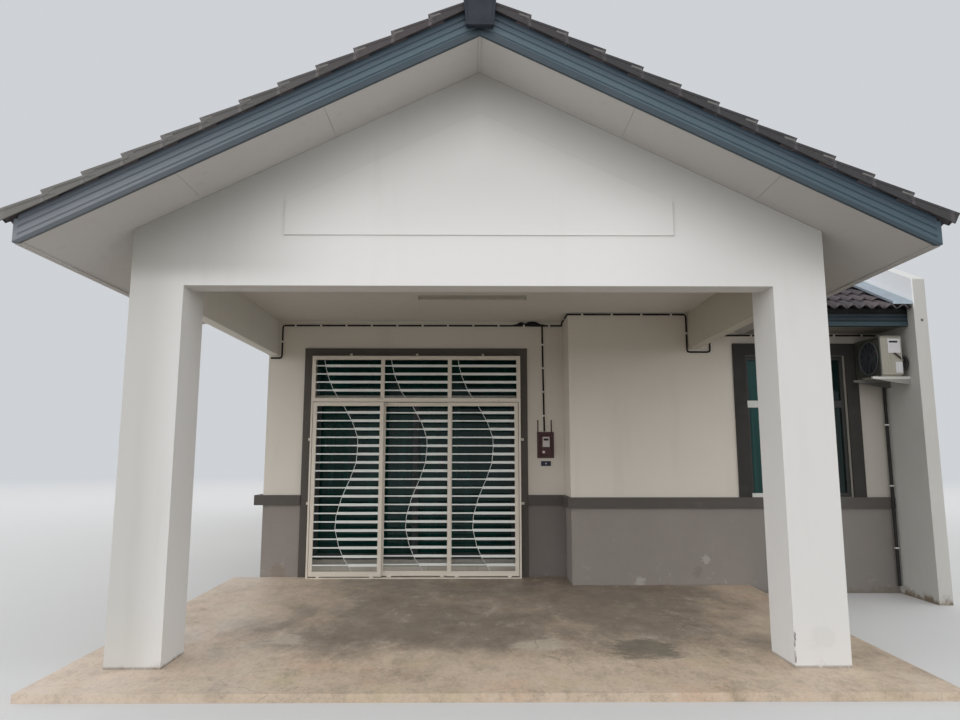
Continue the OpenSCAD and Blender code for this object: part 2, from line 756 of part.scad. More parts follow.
// One leaf of the sliding glass door on its two runners, its pane in the middle of its thickness
module glass_leaf(x0, x1, y0) {
    sill = floor_z + slider_sill_h;
    z0 = sill + leaf_clear;
    z1 = slider_head_z - leaf_clear;
    w = slider_bar_w;
    cut = (slider_t - glass_t) / 2;
    difference() {
        box([x0, y0, z0], [x1, y0 + slider_t, z1]);
        for (y = [y0 - 1, y0 + slider_t - cut])
            box([x0 + w, y, z0 + w], [x1 - w, y + cut + 1, z1 - w]);
    }
    for (x = [x0 + w, x1 - 2 * w])
        box([x, y0 + slider_t / 4, sill + runner_gap], [x + w, y0 + slider_t * 3 / 4, z0 + 1]);
}

slider_first = door_in_y - slider_frame_d + leaf_clear;

module sliding_door_left() {
    color("#c8cbc9")
        glass_leaf(door_x0 + slider_jamb + leaf_clear, slider_mid + slider_bar_w / 2, slider_first);
}

module sliding_door_right() {
    color("#c8cbc9") glass_leaf(slider_mid - slider_bar_w / 2, door_x1 - slider_jamb - leaf_clear,
        slider_first + slider_t + grille_gap);
}

// The lines between the three fixed panels over the grille leaves
function divider_x(i) = leaf_first + i * leaf_step + leaf_lap / 2;

module grille_frame() {
    head_top = grille_head_z + grille_head_h;
    face_back = grille_y + grille_t;
    foot = porch_floor_z(grille_back);
    surround_y = door_wall_y - trim_out;
    w = grille_bar_w;
    color("#d3c9bb") union() {
        for (x = [grille_x0, grille_x1 - grille_end_w])
            box([x, grille_y, foot], [x + grille_end_w, grille_back, head_top]);
        box([grille_x0, grille_y, grille_head_z], [grille_x1, grille_back, head_top]);
        along_x(grille_x0, grille_x1, [[grille_y, porch_floor_z(grille_y)], [grille_back, foot],
            [grille_back, foot + track_h], [grille_y, foot + track_h]]);
        for (x = [grille_x0, divider_x(1) - w / 2, divider_x(2) - w / 2, grille_x1 - w])
            box([x, grille_y, head_top], [x + w, face_back, grille_top]);
        box([grille_x0, grille_y, grille_top - w], [grille_x1, face_back, grille_top]);
        // Lugs from the frame to the painted surround of the doorway
        for (i = [0 : 2]) {
            x = divider_x(i) + leaf_step / 2 - lug_w / 2;
            box([x, face_back - lug_t, grille_top - lug_t], [x + lug_w, surround_y, grille_top]);
            box([x, surround_y - lug_t, grille_top - lug_t], [x + lug_w, surround_y, grille_top + lug_reach]);
        }
        for (z = [lug_low_z, lug_high_z]) {
            box([grille_x0 - lug_reach, surround_y - lug_t, z], [grille_x0 + lug_t, surround_y, z + lug_w]);
            box([grille_x0, grille_back - lug_t, z], [grille_x0 + lug_t, surround_y, z + lug_w]);
            box([grille_x1 - lug_t, surround_y - lug_t, z], [grille_x1 + lug_reach, surround_y, z + lug_w]);
            box([grille_x1 - lug_t, grille_back - lug_t, z], [grille_x1, surround_y, z + lug_w]);
        }
    }
}

// One grille leaf on its two runners: the outer frame in which the bars stand
module grille_leaf(i, track) {
    x0 = leaf_first + i * leaf_step + (i == 1 ? leaf_shift : 0);
    y0 = grille_y + track * grille_pitch;
    floor_top = porch_floor_z(grille_back);
    z0 = floor_top + grille_foot_h;
    z1 = grille_head_z - leaf_clear;
    w = grille_bar_w;
    difference() {
        box([x0, y0, z0], [x0 + leaf_w, y0 + grille_t, z1]);
        box([x0 + w, y0 - 1, z0 + grille_foot_rail], [x0 + leaf_w - w, y0 + grille_t + 1, z1 - w]);
    }
    for (x = [x0 + 2 * w, x0 + leaf_w - 3 * w])
        box([x, y0 + grille_t / 4, floor_top + track_h + runner_gap], [x + w, y0 + grille_t * 3 / 4, z0 + 1]);
}

module grille_leaf_left() {
    color("#d3c9bb") grille_leaf(0, 0);
}

module grille_leaf_middle() {
    color("#d3c9bb") grille_leaf(1, 2);
}

module grille_leaf_right() {
    color("#d3c9bb") grille_leaf(2, 1);
}

module air_conditioner() {
    r = pipe_r;
    pipe_x = party_x - r - pipe_gap;
    pipe_y = window_wall_y - band_out - r - seat_gap;
    pipe_z = bracket_z + pipe_up;
    start_y = cooler_y + pipe_in;
    side_x = cooler_x + cooler_d;
    color("#d6d4cb") union() {
        box([cooler_x, cooler_y, bracket_z], [side_x, cooler_y + cooler_len, bracket_z + cooler_h]);
        translate([side_x - r, start_y, pipe_z]) rotate([0, 90, 0])
            cylinder(h = pipe_x - side_x + r, r = r, $fn = 24);
        translate([pipe_x, start_y, pipe_z]) sphere(r = r, $fn = 24);
        translate([pipe_x, start_y, pipe_z]) rotate([-90, 0, 0])
            cylinder(h = pipe_y - start_y, r = r, $fn = 24);
        translate([pipe_x, pipe_y, pipe_z]) sphere(r = r, $fn = 24);
        translate([pipe_x, pipe_y, pipe_foot_z]) cylinder(h = pipe_z - pipe_foot_z, r = r, $fn = 24);
    }
}

module air_conditioner_brackets() {
    tip = cooler_x - arm_reach;
    color("#cfcfc9") for (y = [cooler_y + arm_in_front, cooler_y + cooler_len - arm_in_back - arm_w])
        along_y(y, y + arm_w, [[tip, bracket_z], [party_x, bracket_z], [party_x, bracket_z - arm_h],
            [party_x - arm_w, bracket_z - arm_h], [tip, bracket_z - arm_tip_h]]);
}

module meter_board() {
    face = door_wall_y - meter_board_t;
    color("#5b2f33") union() {
        box([meter_x, face, meter_z], [meter_x + meter_w, door_wall_y, meter_z + meter_h]);
        box([meter_x + meter_margin, face - meter_out, meter_z + meter_margin],
            [meter_x + meter_w - meter_margin, face, meter_z + meter_h - meter_margin]);
    }
}

// A straight run of cable between two points on a wall, along one axis
module run(a, b) {
    h = cable_t / 2;
    low = [min(a.x, b.x), min(a.y, b.y), min(a.z, b.z)];
    high = [max(a.x, b.x), max(a.y, b.y), max(a.z, b.z)];
    box(low - [h, h, h], high + [h, h, h]);
}

module surface_cable() {
    far = door_wall_y - cable_t / 2;
    near = window_wall_y - cable_t / 2;
    side = return_x - cable_t / 2;
    high = cable_z + cable_step;
    left_drop = -column_out + side_beam_t + cable_left_gap;
    right_drop = column_out - side_beam_t - cable_right_gap;
    past_beam = column_out + cable_rise_gap;
    meter_mid = meter_x + meter_w / 2 - cable_meter_off;
    points = [[left_x + cable_start_in, far, cable_under_z], [left_drop, far, cable_under_z],
        [left_drop, far, cable_z], [side, far, cable_z], [side, far, high], [side, near, high],
        [right_drop, near, high], [right_drop, near, cable_under_z], [past_beam, near, cable_under_z],
        [past_beam, near, cable_outside_z], [party_x - cable_end_in, near, cable_outside_z]];
    color("#23211f") union() {
        for (i = [0 : len(points) - 2])
            run(points[i], points[i + 1]);
        run([meter_mid, far, cable_z], [meter_mid, far, meter_z + meter_h + cable_t / 2]);
    }
}

module porch_lamp() {
    color("#e4e4e0") translate([lamp_x, lamp_y, wall_head_z - lamp_h])
        box([-lamp_len / 2, -lamp_w / 2, 0], [lamp_len / 2, lamp_w / 2, lamp_h]);
}

module back_door() {
    y0 = back_in_y + back_door_set;
    color("#8a8f90")
        box([back_door_x, y0, floor_z], [back_door_x + back_door_w, y0 + back_door_t, floor_z + back_door_h]);
}

porch_floor();
floor_slab();
porch_column_left();
porch_column_right();
porch_front_beam();
porch_gable_wall();
porch_side_beams();
porch_ceiling();
porch_soffit();
porch_fascia();
porch_roof();
ridge_caps();
front_wall_left_of_door();
front_wall_right_of_door();
front_wall_over_door();
front_wall_with_window();
left_wall();
back_wall();
party_wall();
house_ceiling();
main_roof_front();
main_roof_back();
main_fascia();
main_soffit();
left_barge_boards();
roof_flashing();
dado_band();
door_surround();
window_surrounds();
window_frames();
window_glass();
sliding_door_frame();
sliding_door_left();
sliding_door_right();
grille_frame();
grille_leaf_left();
grille_leaf_middle();
grille_leaf_right();
air_conditioner();
air_conditioner_brackets();
meter_board();
surface_cable();
porch_lamp();
back_door();
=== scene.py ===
"""Single-storey house with a gabled car porch: finishes, roof tiles, boards, grille bars and fittings."""
import math
import random
from contextlib import contextmanager

import bmesh
import bpy
from mathutils import Matrix, Vector


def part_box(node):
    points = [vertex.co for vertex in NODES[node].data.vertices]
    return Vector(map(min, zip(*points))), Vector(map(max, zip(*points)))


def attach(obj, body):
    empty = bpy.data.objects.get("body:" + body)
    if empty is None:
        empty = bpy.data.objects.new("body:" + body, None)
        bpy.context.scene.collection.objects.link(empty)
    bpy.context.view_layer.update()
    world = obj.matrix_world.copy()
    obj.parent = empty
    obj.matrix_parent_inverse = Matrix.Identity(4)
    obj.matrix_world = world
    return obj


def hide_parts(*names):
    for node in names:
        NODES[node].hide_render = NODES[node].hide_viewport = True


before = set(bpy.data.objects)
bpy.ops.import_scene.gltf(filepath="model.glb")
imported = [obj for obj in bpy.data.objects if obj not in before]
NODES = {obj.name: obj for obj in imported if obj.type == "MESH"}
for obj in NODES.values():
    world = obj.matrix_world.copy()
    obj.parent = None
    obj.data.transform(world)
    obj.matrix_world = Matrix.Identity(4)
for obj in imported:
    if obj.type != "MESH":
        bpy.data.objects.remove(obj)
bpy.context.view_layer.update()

chance = random.Random(41)
scene = bpy.context.scene
scene.view_settings.view_transform = "Standard"

# Main lines of the house, in metres
HALF_TILES = 3.325
HALF_FASCIA = 3.21
HALF_SOFFIT = 3.16
RISE = 0.5
SLOPE_LEN = math.hypot(1, RISE)
PORCH_RIDGE = 4.837
MAIN_EAVE_Y = 2.31
MAIN_EAVE_TOP = 3.278
MAIN_RIDGE_Y = 9.05
MAIN_RIDGE = MAIN_EAVE_TOP + RISE * (MAIN_RIDGE_Y - MAIN_EAVE_Y)
BACK_EAVE_Y = 15.79
EAVE_OVER = 0.115
MAIN_NOSE_Y = MAIN_EAVE_Y - EAVE_OVER
BACK_NOSE_Y = BACK_EAVE_Y + EAVE_OVER
VALLEY_Y = MAIN_EAVE_Y + (PORCH_RIDGE - MAIN_EAVE_TOP) / RISE
PARTY_X = 4.83
DOOR_WALL_Y = 3.407
WINDOW_WALL_Y = 2.865
VERGE_X = -3.25
VERGE_Y = -0.74
BARGE_Y = -0.70
DECK = 0.085
GABLE_APEX = 4.546
BOARD_FOOT = 2.990
SOFFIT_RISE = (GABLE_APEX - BOARD_FOOT) / HALF_SOFFIT
GAUGE = 0.2965
TILE_W = 0.28
COURSE_STEP = 0.030
WAVE_H = 0.050
TILE_T = 0.014
NOSE_UP = 0.008
FIRST_NOSE = 3.280
DADO_TOP = 0.955
PARTY_TOP = 6.938
HOLE_AT = (4.912, 2.190, 3.037)
WINDOW_MIDDLE = 3.80
PALE_SKY = (0.62, 0.64, 0.67, 1.0)


# Camera and light
def set_camera():
    """The photographer's place in front of the porch, looking slightly up."""
    lens = bpy.data.cameras.new("street_view")
    lens.lens = 26.2
    lens.sensor_width = 36.0
    lens.clip_end = 2000.0
    camera = bpy.data.objects.new("street_view", lens)
    scene.collection.objects.link(camera)
    camera.location = (-0.038, -5.356, 1.5225)
    camera.rotation_euler = [math.radians(a) for a in (98.01, 0.0, -0.48)]
    scene.camera = camera


def set_light():
    """A pale sky, brighter near the ground and to both sides, and one large soft lamp from the front."""
    sky = bpy.data.worlds.new("pale_sky")
    sky.use_nodes = True
    tree = sky.node_tree

    def node(kind, *links, **settings):
        made = tree.nodes.new(kind)
        for key, value in settings.items():
            setattr(made, key, value)
        for spot, value in enumerate(links):
            if isinstance(value, bpy.types.NodeSocket):
                tree.links.new(value, made.inputs[spot])
            else:
                made.inputs[spot].default_value = value
        return made

    way = node("ShaderNodeSeparateXYZ", node("ShaderNodeTexCoord").outputs["Generated"])
    height = node("ShaderNodeMapRange", way.outputs["Z"], 0.0, 0.7, 1.45, 0.70)
    left = node("ShaderNodeMapRange", way.outputs["X"], -1.0, 0.0, 2.2, 1.0)
    right = node("ShaderNodeMapRange", way.outputs["X"], 0.0, 1.0, 1.0, 1.9)
    side = node("ShaderNodeMath", left.outputs[0], right.outputs[0], operation="MULTIPLY")
    share = node("ShaderNodeMath", height.outputs[0], side.outputs[0], operation="MULTIPLY")
    cast = node("ShaderNodeVectorMath", (0.78, 0.79, 0.80), operation="SCALE")
    tree.links.new(share.outputs[0], cast.inputs["Scale"])
    ray = node("ShaderNodeLightPath")
    clear = node("ShaderNodeMath", ray.outputs["Is Glossy Ray"], ray.outputs["Is Transmission Ray"],
                 operation="MAXIMUM")
    seen = node("ShaderNodeMath", ray.outputs["Is Camera Ray"], clear.outputs[0], operation="MAXIMUM")
    mixed = node("ShaderNodeMix", data_type="RGBA")
    tree.links.new(seen.outputs[0], mixed.inputs["Factor"])
    tree.links.new(cast.outputs[0], mixed.inputs["A"])
    mixed.inputs["B"].default_value = PALE_SKY
    glow = tree.nodes["Background"]
    tree.links.new(mixed.outputs["Result"], glow.inputs["Color"])
    glow.inputs["Strength"].default_value = 1.0
    scene.world = sky
    lamp = bpy.data.lights.new("soft_lamp", "SUN")
    lamp.energy = 0.4
    lamp.angle = math.radians(50)
    lamp.color = (1.0, 0.985, 0.96)
    holder = bpy.data.objects.new("soft_lamp", lamp)
    scene.collection.objects.link(holder)
    holder.rotation_euler = [math.radians(a) for a in (56, 0, -4)]


# Finishes
def tint(r, g, b):
    """A paint colour from its three values on a 0 to 255 chart."""
    def part(v):
        v /= 255
        return v / 12.92 if v <= 0.04045 else ((v + 0.055) / 1.055) ** 2.4
    return (part(r), part(g), part(b), 1.0)


class Finish:
    """A procedural finish that reads the piece's own Object coordinates, in metres."""

    def __init__(self, name, rough=0.6, metal=0.0, gloss=0.5):
        self.material = bpy.data.materials.new(name)
        self.material.use_nodes = True
        self.tree = self.material.node_tree
        self.skin = self.tree.nodes["Principled BSDF"]
        self.skin.inputs["Roughness"].default_value = rough
        self.skin.inputs["Metallic"].default_value = metal
        self.skin.inputs["Specular IOR Level"].default_value = gloss
        self.place = self.make("ShaderNodeTexCoord").outputs["Object"]
        parts = self.make("ShaderNodeSeparateXYZ")
        self.put(parts.inputs[0], self.place)
        self.x, self.y, self.z = parts.outputs

    def make(self, kind, **settings):
        node = self.tree.nodes.new(kind)
        for key, value in settings.items():
            setattr(node, key, value)
        return node

    def put(self, socket, value):
        if isinstance(value, bpy.types.NodeSocket):
            self.tree.links.new(value, socket)
        else:
            socket.default_value = value

    def calc(self, way, a, b=0.0, c=0.0):
        node = self.make("ShaderNodeMath", operation=way)
        for socket, value in zip(node.inputs, (a, b, c)):
            self.put(socket, value)
        return node.outputs[0]

    def between(self, value, low, high, to_low=0.0, to_high=1.0):
        """Rises smoothly from to_low to to_high as the value goes from low to high."""
        node = self.make("ShaderNodeMapRange", interpolation_type="SMOOTHSTEP")
        keys = ("Value", "From Min", "From Max", "To Min", "To Max")
        for key, v in zip(keys, (value, low, high, to_low, to_high)):
            self.put(node.inputs[key], v)
        return node.outputs[0]

    def stretched(self, stretch, shift=(0, 0, 0)):
        node = self.make("ShaderNodeMapping")
        self.put(node.inputs["Vector"], self.place)
        self.put(node.inputs["Scale"], stretch)
        self.put(node.inputs["Location"], shift)
        return node.outputs[0]

    def noise(self, size, detail=3.0, rough=0.55, stretch=None, shift=(0, 0, 0)):
        """Cloudy variation between 0 and 1, with features of about that size in metres."""
        node = self.make("ShaderNodeTexNoise")
        self.put(node.inputs["Vector"], self.stretched(stretch or (1, 1, 1), shift))
        self.put(node.inputs["Scale"], 1.0 / size)
        self.put(node.inputs["Detail"], detail)
        self.put(node.inputs["Roughness"], rough)
        return node.outputs["Fac"]

    def cells(self, size, feature="F1", out="Distance", stretch=None, vector=None):
        node = self.make("ShaderNodeTexVoronoi", feature=feature)
        self.put(node.inputs["Vector"], vector or self.stretched(stretch or (1, 1, 1)))
        self.put(node.inputs["Scale"], 1.0 / size)
        return node.outputs[out]

    def chance_at(self, *values):
        """One random number for each whole set of up to three values."""
        joined = self.make("ShaderNodeCombineXYZ")
        for socket, value in zip(joined.inputs, values):
            self.put(socket, value)
        node = self.make("ShaderNodeTexWhiteNoise", noise_dimensions="3D")
        self.put(node.inputs["Vector"], joined.outputs[0])
        return node.outputs["Value"]

    def mix(self, share, a, b, way="MIX"):
        node = self.make("ShaderNodeMix", data_type="RGBA", blend_type=way)
        for key, value in (("Factor", share), ("A", a), ("B", b)):
            self.put(node.inputs[key], value)
        return node.outputs["Result"]

    def coat(self, paint, colour, *shares):
        """Lays a colour over the paint, as strongly as the product of the shares."""
        return self.mix(times(self, *shares), paint, tint(*colour))

    def shades(self, share, low, high):
        """The low colour where the share is 0, the high one where it is 1."""
        return self.mix(share, tint(*low), tint(*high))

    def colour(self, value):
        self.put(self.skin.inputs["Base Color"], value)

    def rough(self, value):
        self.put(self.skin.inputs["Roughness"], value)

    def worn(self, patch, low, high):
        """Lets the roughness vary between two values, in patches of that size in metres."""
        self.rough(self.between(self.noise(patch), 0.3, 0.7, low, high))

    def relief(self, height, depth, strength=1.0):
        """Adds fine surface relief of that depth in metres over what is there."""
        node = self.make("ShaderNodeBump")
        self.put(node.inputs["Height"], height)
        self.put(node.inputs["Distance"], depth)
        self.put(node.inputs["Strength"], strength)
        normal = self.skin.inputs["Normal"]
        if normal.links:
            self.put(node.inputs["Normal"], normal.links[0].from_socket)
        self.put(normal, node.outputs[0])

    def cloud_at(self, x, y, z, size):
        """A torn patch about that point, strong inside and fading out."""
        far = self.make("ShaderNodeVectorMath", operation="DISTANCE")
        self.put(far.inputs[0], self.place)
        self.put(far.inputs[1], (x, y, z))
        near = self.between(far.outputs["Value"], 0.0, size, 1.0, 0.0)
        torn = self.noise(size * 0.45, 8.0, 0.82, stretch=(0.6, 1.2, 1), shift=(x, y, z))
        return self.between(self.calc("MULTIPLY_ADD", near, 0.35, torn), 0.62, 0.74)


def times(f, *values):
    out = values[0]
    for value in values[1:]:
        out = f.calc("MULTIPLY", out, value)
    return out


def plaster(name, dado=False, marks=(), light=(226, 225, 222), dark=(217, 216, 212), grime=0.6, panel=False,
            lit_and_whiter_side=False):
    """Painted plaster: trowel waves, roller stipple, dust streaks, splash dirt near the ground."""
    f = Finish(name, rough=0.78, gloss=0.3)
    cloud = f.noise(1.3, 5.0, 0.6)
    paint = f.shades(cloud, dark, light)
    streak = f.between(f.noise(0.35, 4.0, 0.6, stretch=(1, 1, 0.12)), 0.52, 0.8)
    paint = f.coat(paint, (178, 172, 162), streak, 0.22)
    if dado:
        grey = f.shades(f.noise(0.5, 5.0, 0.65), (136, 129, 125), (151, 144, 138))
        low = f.between(f.z, 0.12, 0.45, 0.4, 0.06)
        grey = f.coat(grey, (190, 184, 176), f.between(f.noise(0.12, 4.0, 0.7), 0.58, 0.72), low)
        paint = f.mix(f.between(f.z, DADO_TOP - 0.001, DADO_TOP + 0.001), grey, paint)
    rise = f.calc("MULTIPLY_ADD", f.noise(0.16, 4.0, 0.7), 0.34, -0.10)
    splash = f.between(f.calc("SUBTRACT", rise, f.z), -0.02, 0.07)
    paint = f.coat(paint, (120, 104, 84), splash, grime)
    for x, y, z, size, shade in marks:
        paint = f.coat(paint, shade, f.cloud_at(x, y, z, size), 0.35)
    if dado:
        # Painted shade: the dado right of the door is darkened where the porch shade falls on it
        corner = times(f, f.between(f.x, 0.3, 0.7), f.between(f.x, 1.2, 1.3, 1.0, 0.0),
                       f.between(f.y, 3.3, 3.38),
                       f.between(f.z, DADO_TOP - 0.001, DADO_TOP + 0.001, 0.45, 0.0))
        paint = f.coat(paint, (96, 90, 88), corner)
        # Painted shade: the right end of the window wall is darkened for the deeper shade behind the right
        # column
        shaded_wall_end = f.between(f.x, 3.0, 3.6, 0.0, 0.45)
        paint = f.coat(paint, (120, 118, 114), shaded_wall_end, f.between(f.y, 3.0, 3.2, 1.0, 0.0))
    if panel:
        paint = gable_marks(f, paint)
    if lit_and_whiter_side:
        paint = party_marks(f, paint)
    f.colour(paint)
    f.rough(f.between(f.noise(0.4), 0.2, 0.8, 0.68, 0.85))
    f.relief(f.noise(0.45, 3.0), 0.004, 0.5)
    f.relief(f.noise(0.012, 3.0, 0.7), 0.0009, 0.5)
    return f.material


def gable_marks(f, paint):
    """Porch plaster: painted shade lines at the panel edges, painted shade under the soffit and on the left,
    a painted lighter middle band, painted light and shade on the side beams, dirt at the foot, a crack.
    """
    # Painted shade lines along the edges of the raised panel
    paint = f.coat(paint, (150, 150, 150), panel_edge_shade(f), 0.5)
    slope = f.calc("MULTIPLY_ADD", f.calc("ABSOLUTE", f.x), SOFFIT_RISE, f.z)
    below = f.calc("SUBTRACT", GABLE_APEX, slope)
    # Painted shade: darker under the soffit, fading out 0.75 m below it, and on the left of the gable
    dust = f.calc("MAXIMUM", f.between(below, 0.0, 0.75, 0.48, 0.0),
                  times(f, f.between(f.x, -2.7, -1.7, 0.42, 0.0), f.between(f.z, 2.6, 3.1)))
    paint = f.coat(paint, (150, 148, 142), dust, f.between(f.z, 2.6, 3.1))
    shade = times(f, f.between(f.x, -2.3, -0.8, 0.55, 0.0), f.between(f.z, 2.82, 3.0),
                  f.between(f.y, -0.19, -0.15, 1.0, 0.0))
    paint = f.coat(paint, (150, 148, 142), shade)
    # Painted light: a brighter band across the middle of the gable front
    middle_light = times(f, f.between(f.z, 2.6, 2.8), f.between(f.z, 3.0, 3.7, 1.0, 0.0),
                  f.between(f.y, -0.19, -0.15, 1.0, 0.0),
                  f.between(f.calc("ABSOLUTE", f.x), 0.9, 2.1, 1.0, 0.0), 0.5)
    paint = f.coat(paint, (250, 248, 247), middle_light)
    # Painted shade on the far left of the front faces
    left = times(f, f.between(f.x, -2.5, -2.2, 0.34, 0.0), f.between(f.y, -0.19, -0.15, 1.0, 0.0))
    paint = f.coat(paint, (160, 158, 148), left)
    # Painted light on the left side beam's inner face, painted shade on the right one
    beams = f.between(f.y, 0.2, 0.5)
    paint = f.coat(paint, (254, 253, 246), beams, f.between(f.x, -2.6, -2.4, 0.7, 0.0))
    paint = f.coat(paint, (186, 178, 156), beams, f.between(f.x, 2.3, 2.5, 0.0, 0.6))
    foot = times(f, f.between(f.z, 0.066, 0.084, 1.0, 0.0), f.between(f.noise(0.07, 5.0, 0.7), 0.3, 0.5))
    paint = f.coat(paint, (116, 98, 76), foot, 0.6)
    off = f.calc("MULTIPLY_ADD", f.noise(0.09, 6.0, 0.8), 0.030, f.calc("SUBTRACT", f.x, 2.250))
    crack = f.between(f.calc("ABSOLUTE", off), 0.002, 0.006, 1.0, 0.0)
    crack = times(f, crack, f.between(f.y, -0.196, -0.180, 1.0, 0.0), f.between(f.z, 0.086, 0.1),
                  f.between(f.z, 0.29, 0.31, 1.0, 0.0), f.between(f.noise(0.04, 4.0), 0.40, 0.48))
    paint = f.coat(paint, (70, 68, 64), crack, 0.85)
    scuff = times(f, f.cloud_at(2.44, -0.20, 0.26, 0.16), 0.08)
    paint = f.coat(paint, (150, 150, 142), scuff)
    line = f.calc("ADD", below, times(f, f.noise(0.04, 4.0, 0.7), 0.014))
    paint = f.coat(paint, (96, 84, 74), f.between(line, 0.006, 0.012, 1.0, 0.0), 0.5)
    return paint


def party_marks(f, paint):
    """Party wall: a brighter top edge and upper inner face, partly whiter paint and partly painted light from
    the upper left, and a small hole drawn as a painted dark spot of shade.
    """
    # Partly whiter paint, partly painted light from the upper left: the upper inner face and the top edge are
    # brighter
    inner = times(f, f.between(f.x, 4.835, 4.845, 1.0, 0.0), f.between(f.z, 3.15, 3.25))
    run = f.calc("ABSOLUTE", f.calc("SUBTRACT", f.y, MAIN_RIDGE_Y))
    top = f.calc("MULTIPLY_ADD", run, RISE, f.z)
    inner = f.calc("MAXIMUM", inner, f.between(top, PARTY_TOP - 0.012, PARTY_TOP - 0.004, 0.0, 0.35))
    # Painted shade: the inside of a small hole in the inner face, drawn as a dark spot
    hole = f.make("ShaderNodeVectorMath", operation="DISTANCE")
    f.put(hole.inputs[0], f.place)
    f.put(hole.inputs[1], HOLE_AT)
    paint = f.coat(paint, (60, 58, 54), f.between(hole.outputs["Value"], 0.012, 0.020, 0.85, 0.0))
    paint = f.mix(inner, paint, f.shades(f.noise(0.3, 5.0, 0.65), (246, 247, 250), (254, 254, 255)))
    return paint


def panel_edge_shade(f):
    """Painted shade lines where the raised panel of the gable meets the wall."""
    across = f.calc("ABSOLUTE", f.x)
    upright = f.between(f.calc("ABSOLUTE", f.calc("SUBTRACT", across, 1.490)), 0.002, 0.005, 1.0, 0.0)
    slope = f.calc("MULTIPLY_ADD", across, SOFFIT_RISE, f.z)
    top = 3.475 + SOFFIT_RISE * 1.49
    sloped = f.between(f.calc("ABSOLUTE", f.calc("SUBTRACT", slope, top)), 0.002, 0.006, 0.35, 0.0)
    low = f.between(f.z, 3.200, 3.209)
    return times(f, low, f.calc("MAXIMUM", times(f, upright, f.between(slope, top, top + 0.004, 1.0, 0.0)),
                                times(f, sloped, f.between(across, 1.488, 1.492, 1.0, 0.0))))


def board_paint(name, light, dark, grain_axis=None, rough=0.55, dirt=(92, 84, 74), dirt_share=0.25,
                paler_left=None, shaded=None, tile_shadow_z=None, tile_shade=None):
    """Painted boards: paler towards the left where asked, dust in the pores and faint grain; where asked also
    painted shade towards the right, painted shade near the top of the barge boards, and a painted shadow
    under the tile noses with painted light on the lowest strip.
    """
    f = Finish(name, rough=rough, gloss=0.35)
    paint = f.shades(f.noise(0.8, 5.0, 0.6), dark, light)
    dust = f.between(f.noise(0.09, 5.0, 0.7), 0.55, 0.75)
    paint = f.coat(paint, dirt, dust, dirt_share)
    # Paler towards the left
    if paler_left:
        paint = f.coat(paint, paler_left, f.between(f.x, -3.3, -0.6, 0.75, 0.0))
    if shaded:
        paint = f.coat(paint, shaded, f.between(f.x, 0.3, 3.2, 0.0, 0.8))
    if tile_shade:
        # Painted shade: darker towards the top of the barge boards under the tiles, with a thin painted shade
        # line near the lowest groove
        slope = f.calc("MULTIPLY_ADD", f.calc("ABSOLUTE", f.x), RISE, f.z)
        paint = f.coat(paint, tile_shade, f.between(slope, 4.625, 4.755, 0.0, 0.6))
        paint = f.coat(paint, (44, 52, 60), f.between(slope, 4.598, 4.604, 0.6, 0.0))
    if tile_shadow_z:
        # Painted light on the lowest strip of the fascia, and a near-black painted shadow under the tile
        # noses from the given height up
        paint = f.coat(paint, (62, 84, 92), f.between(f.z, 2.99, 3.0), f.between(f.z, 3.035, 3.05, 0.5, 0.0))
        paint = f.coat(paint, (9, 10, 12), f.between(f.z, tile_shadow_z - 0.006, tile_shadow_z + 0.006))
    f.colour(paint)
    stretch = [1.0, 1.0, 1.0]
    if grain_axis is not None:
        stretch[grain_axis] = 0.06
    f.worn(0.2, rough - 0.1, rough + 0.12)
    f.relief(f.noise(0.02, 4.0, 0.6, stretch=tuple(stretch)), 0.0012, 0.4)
    return f.material


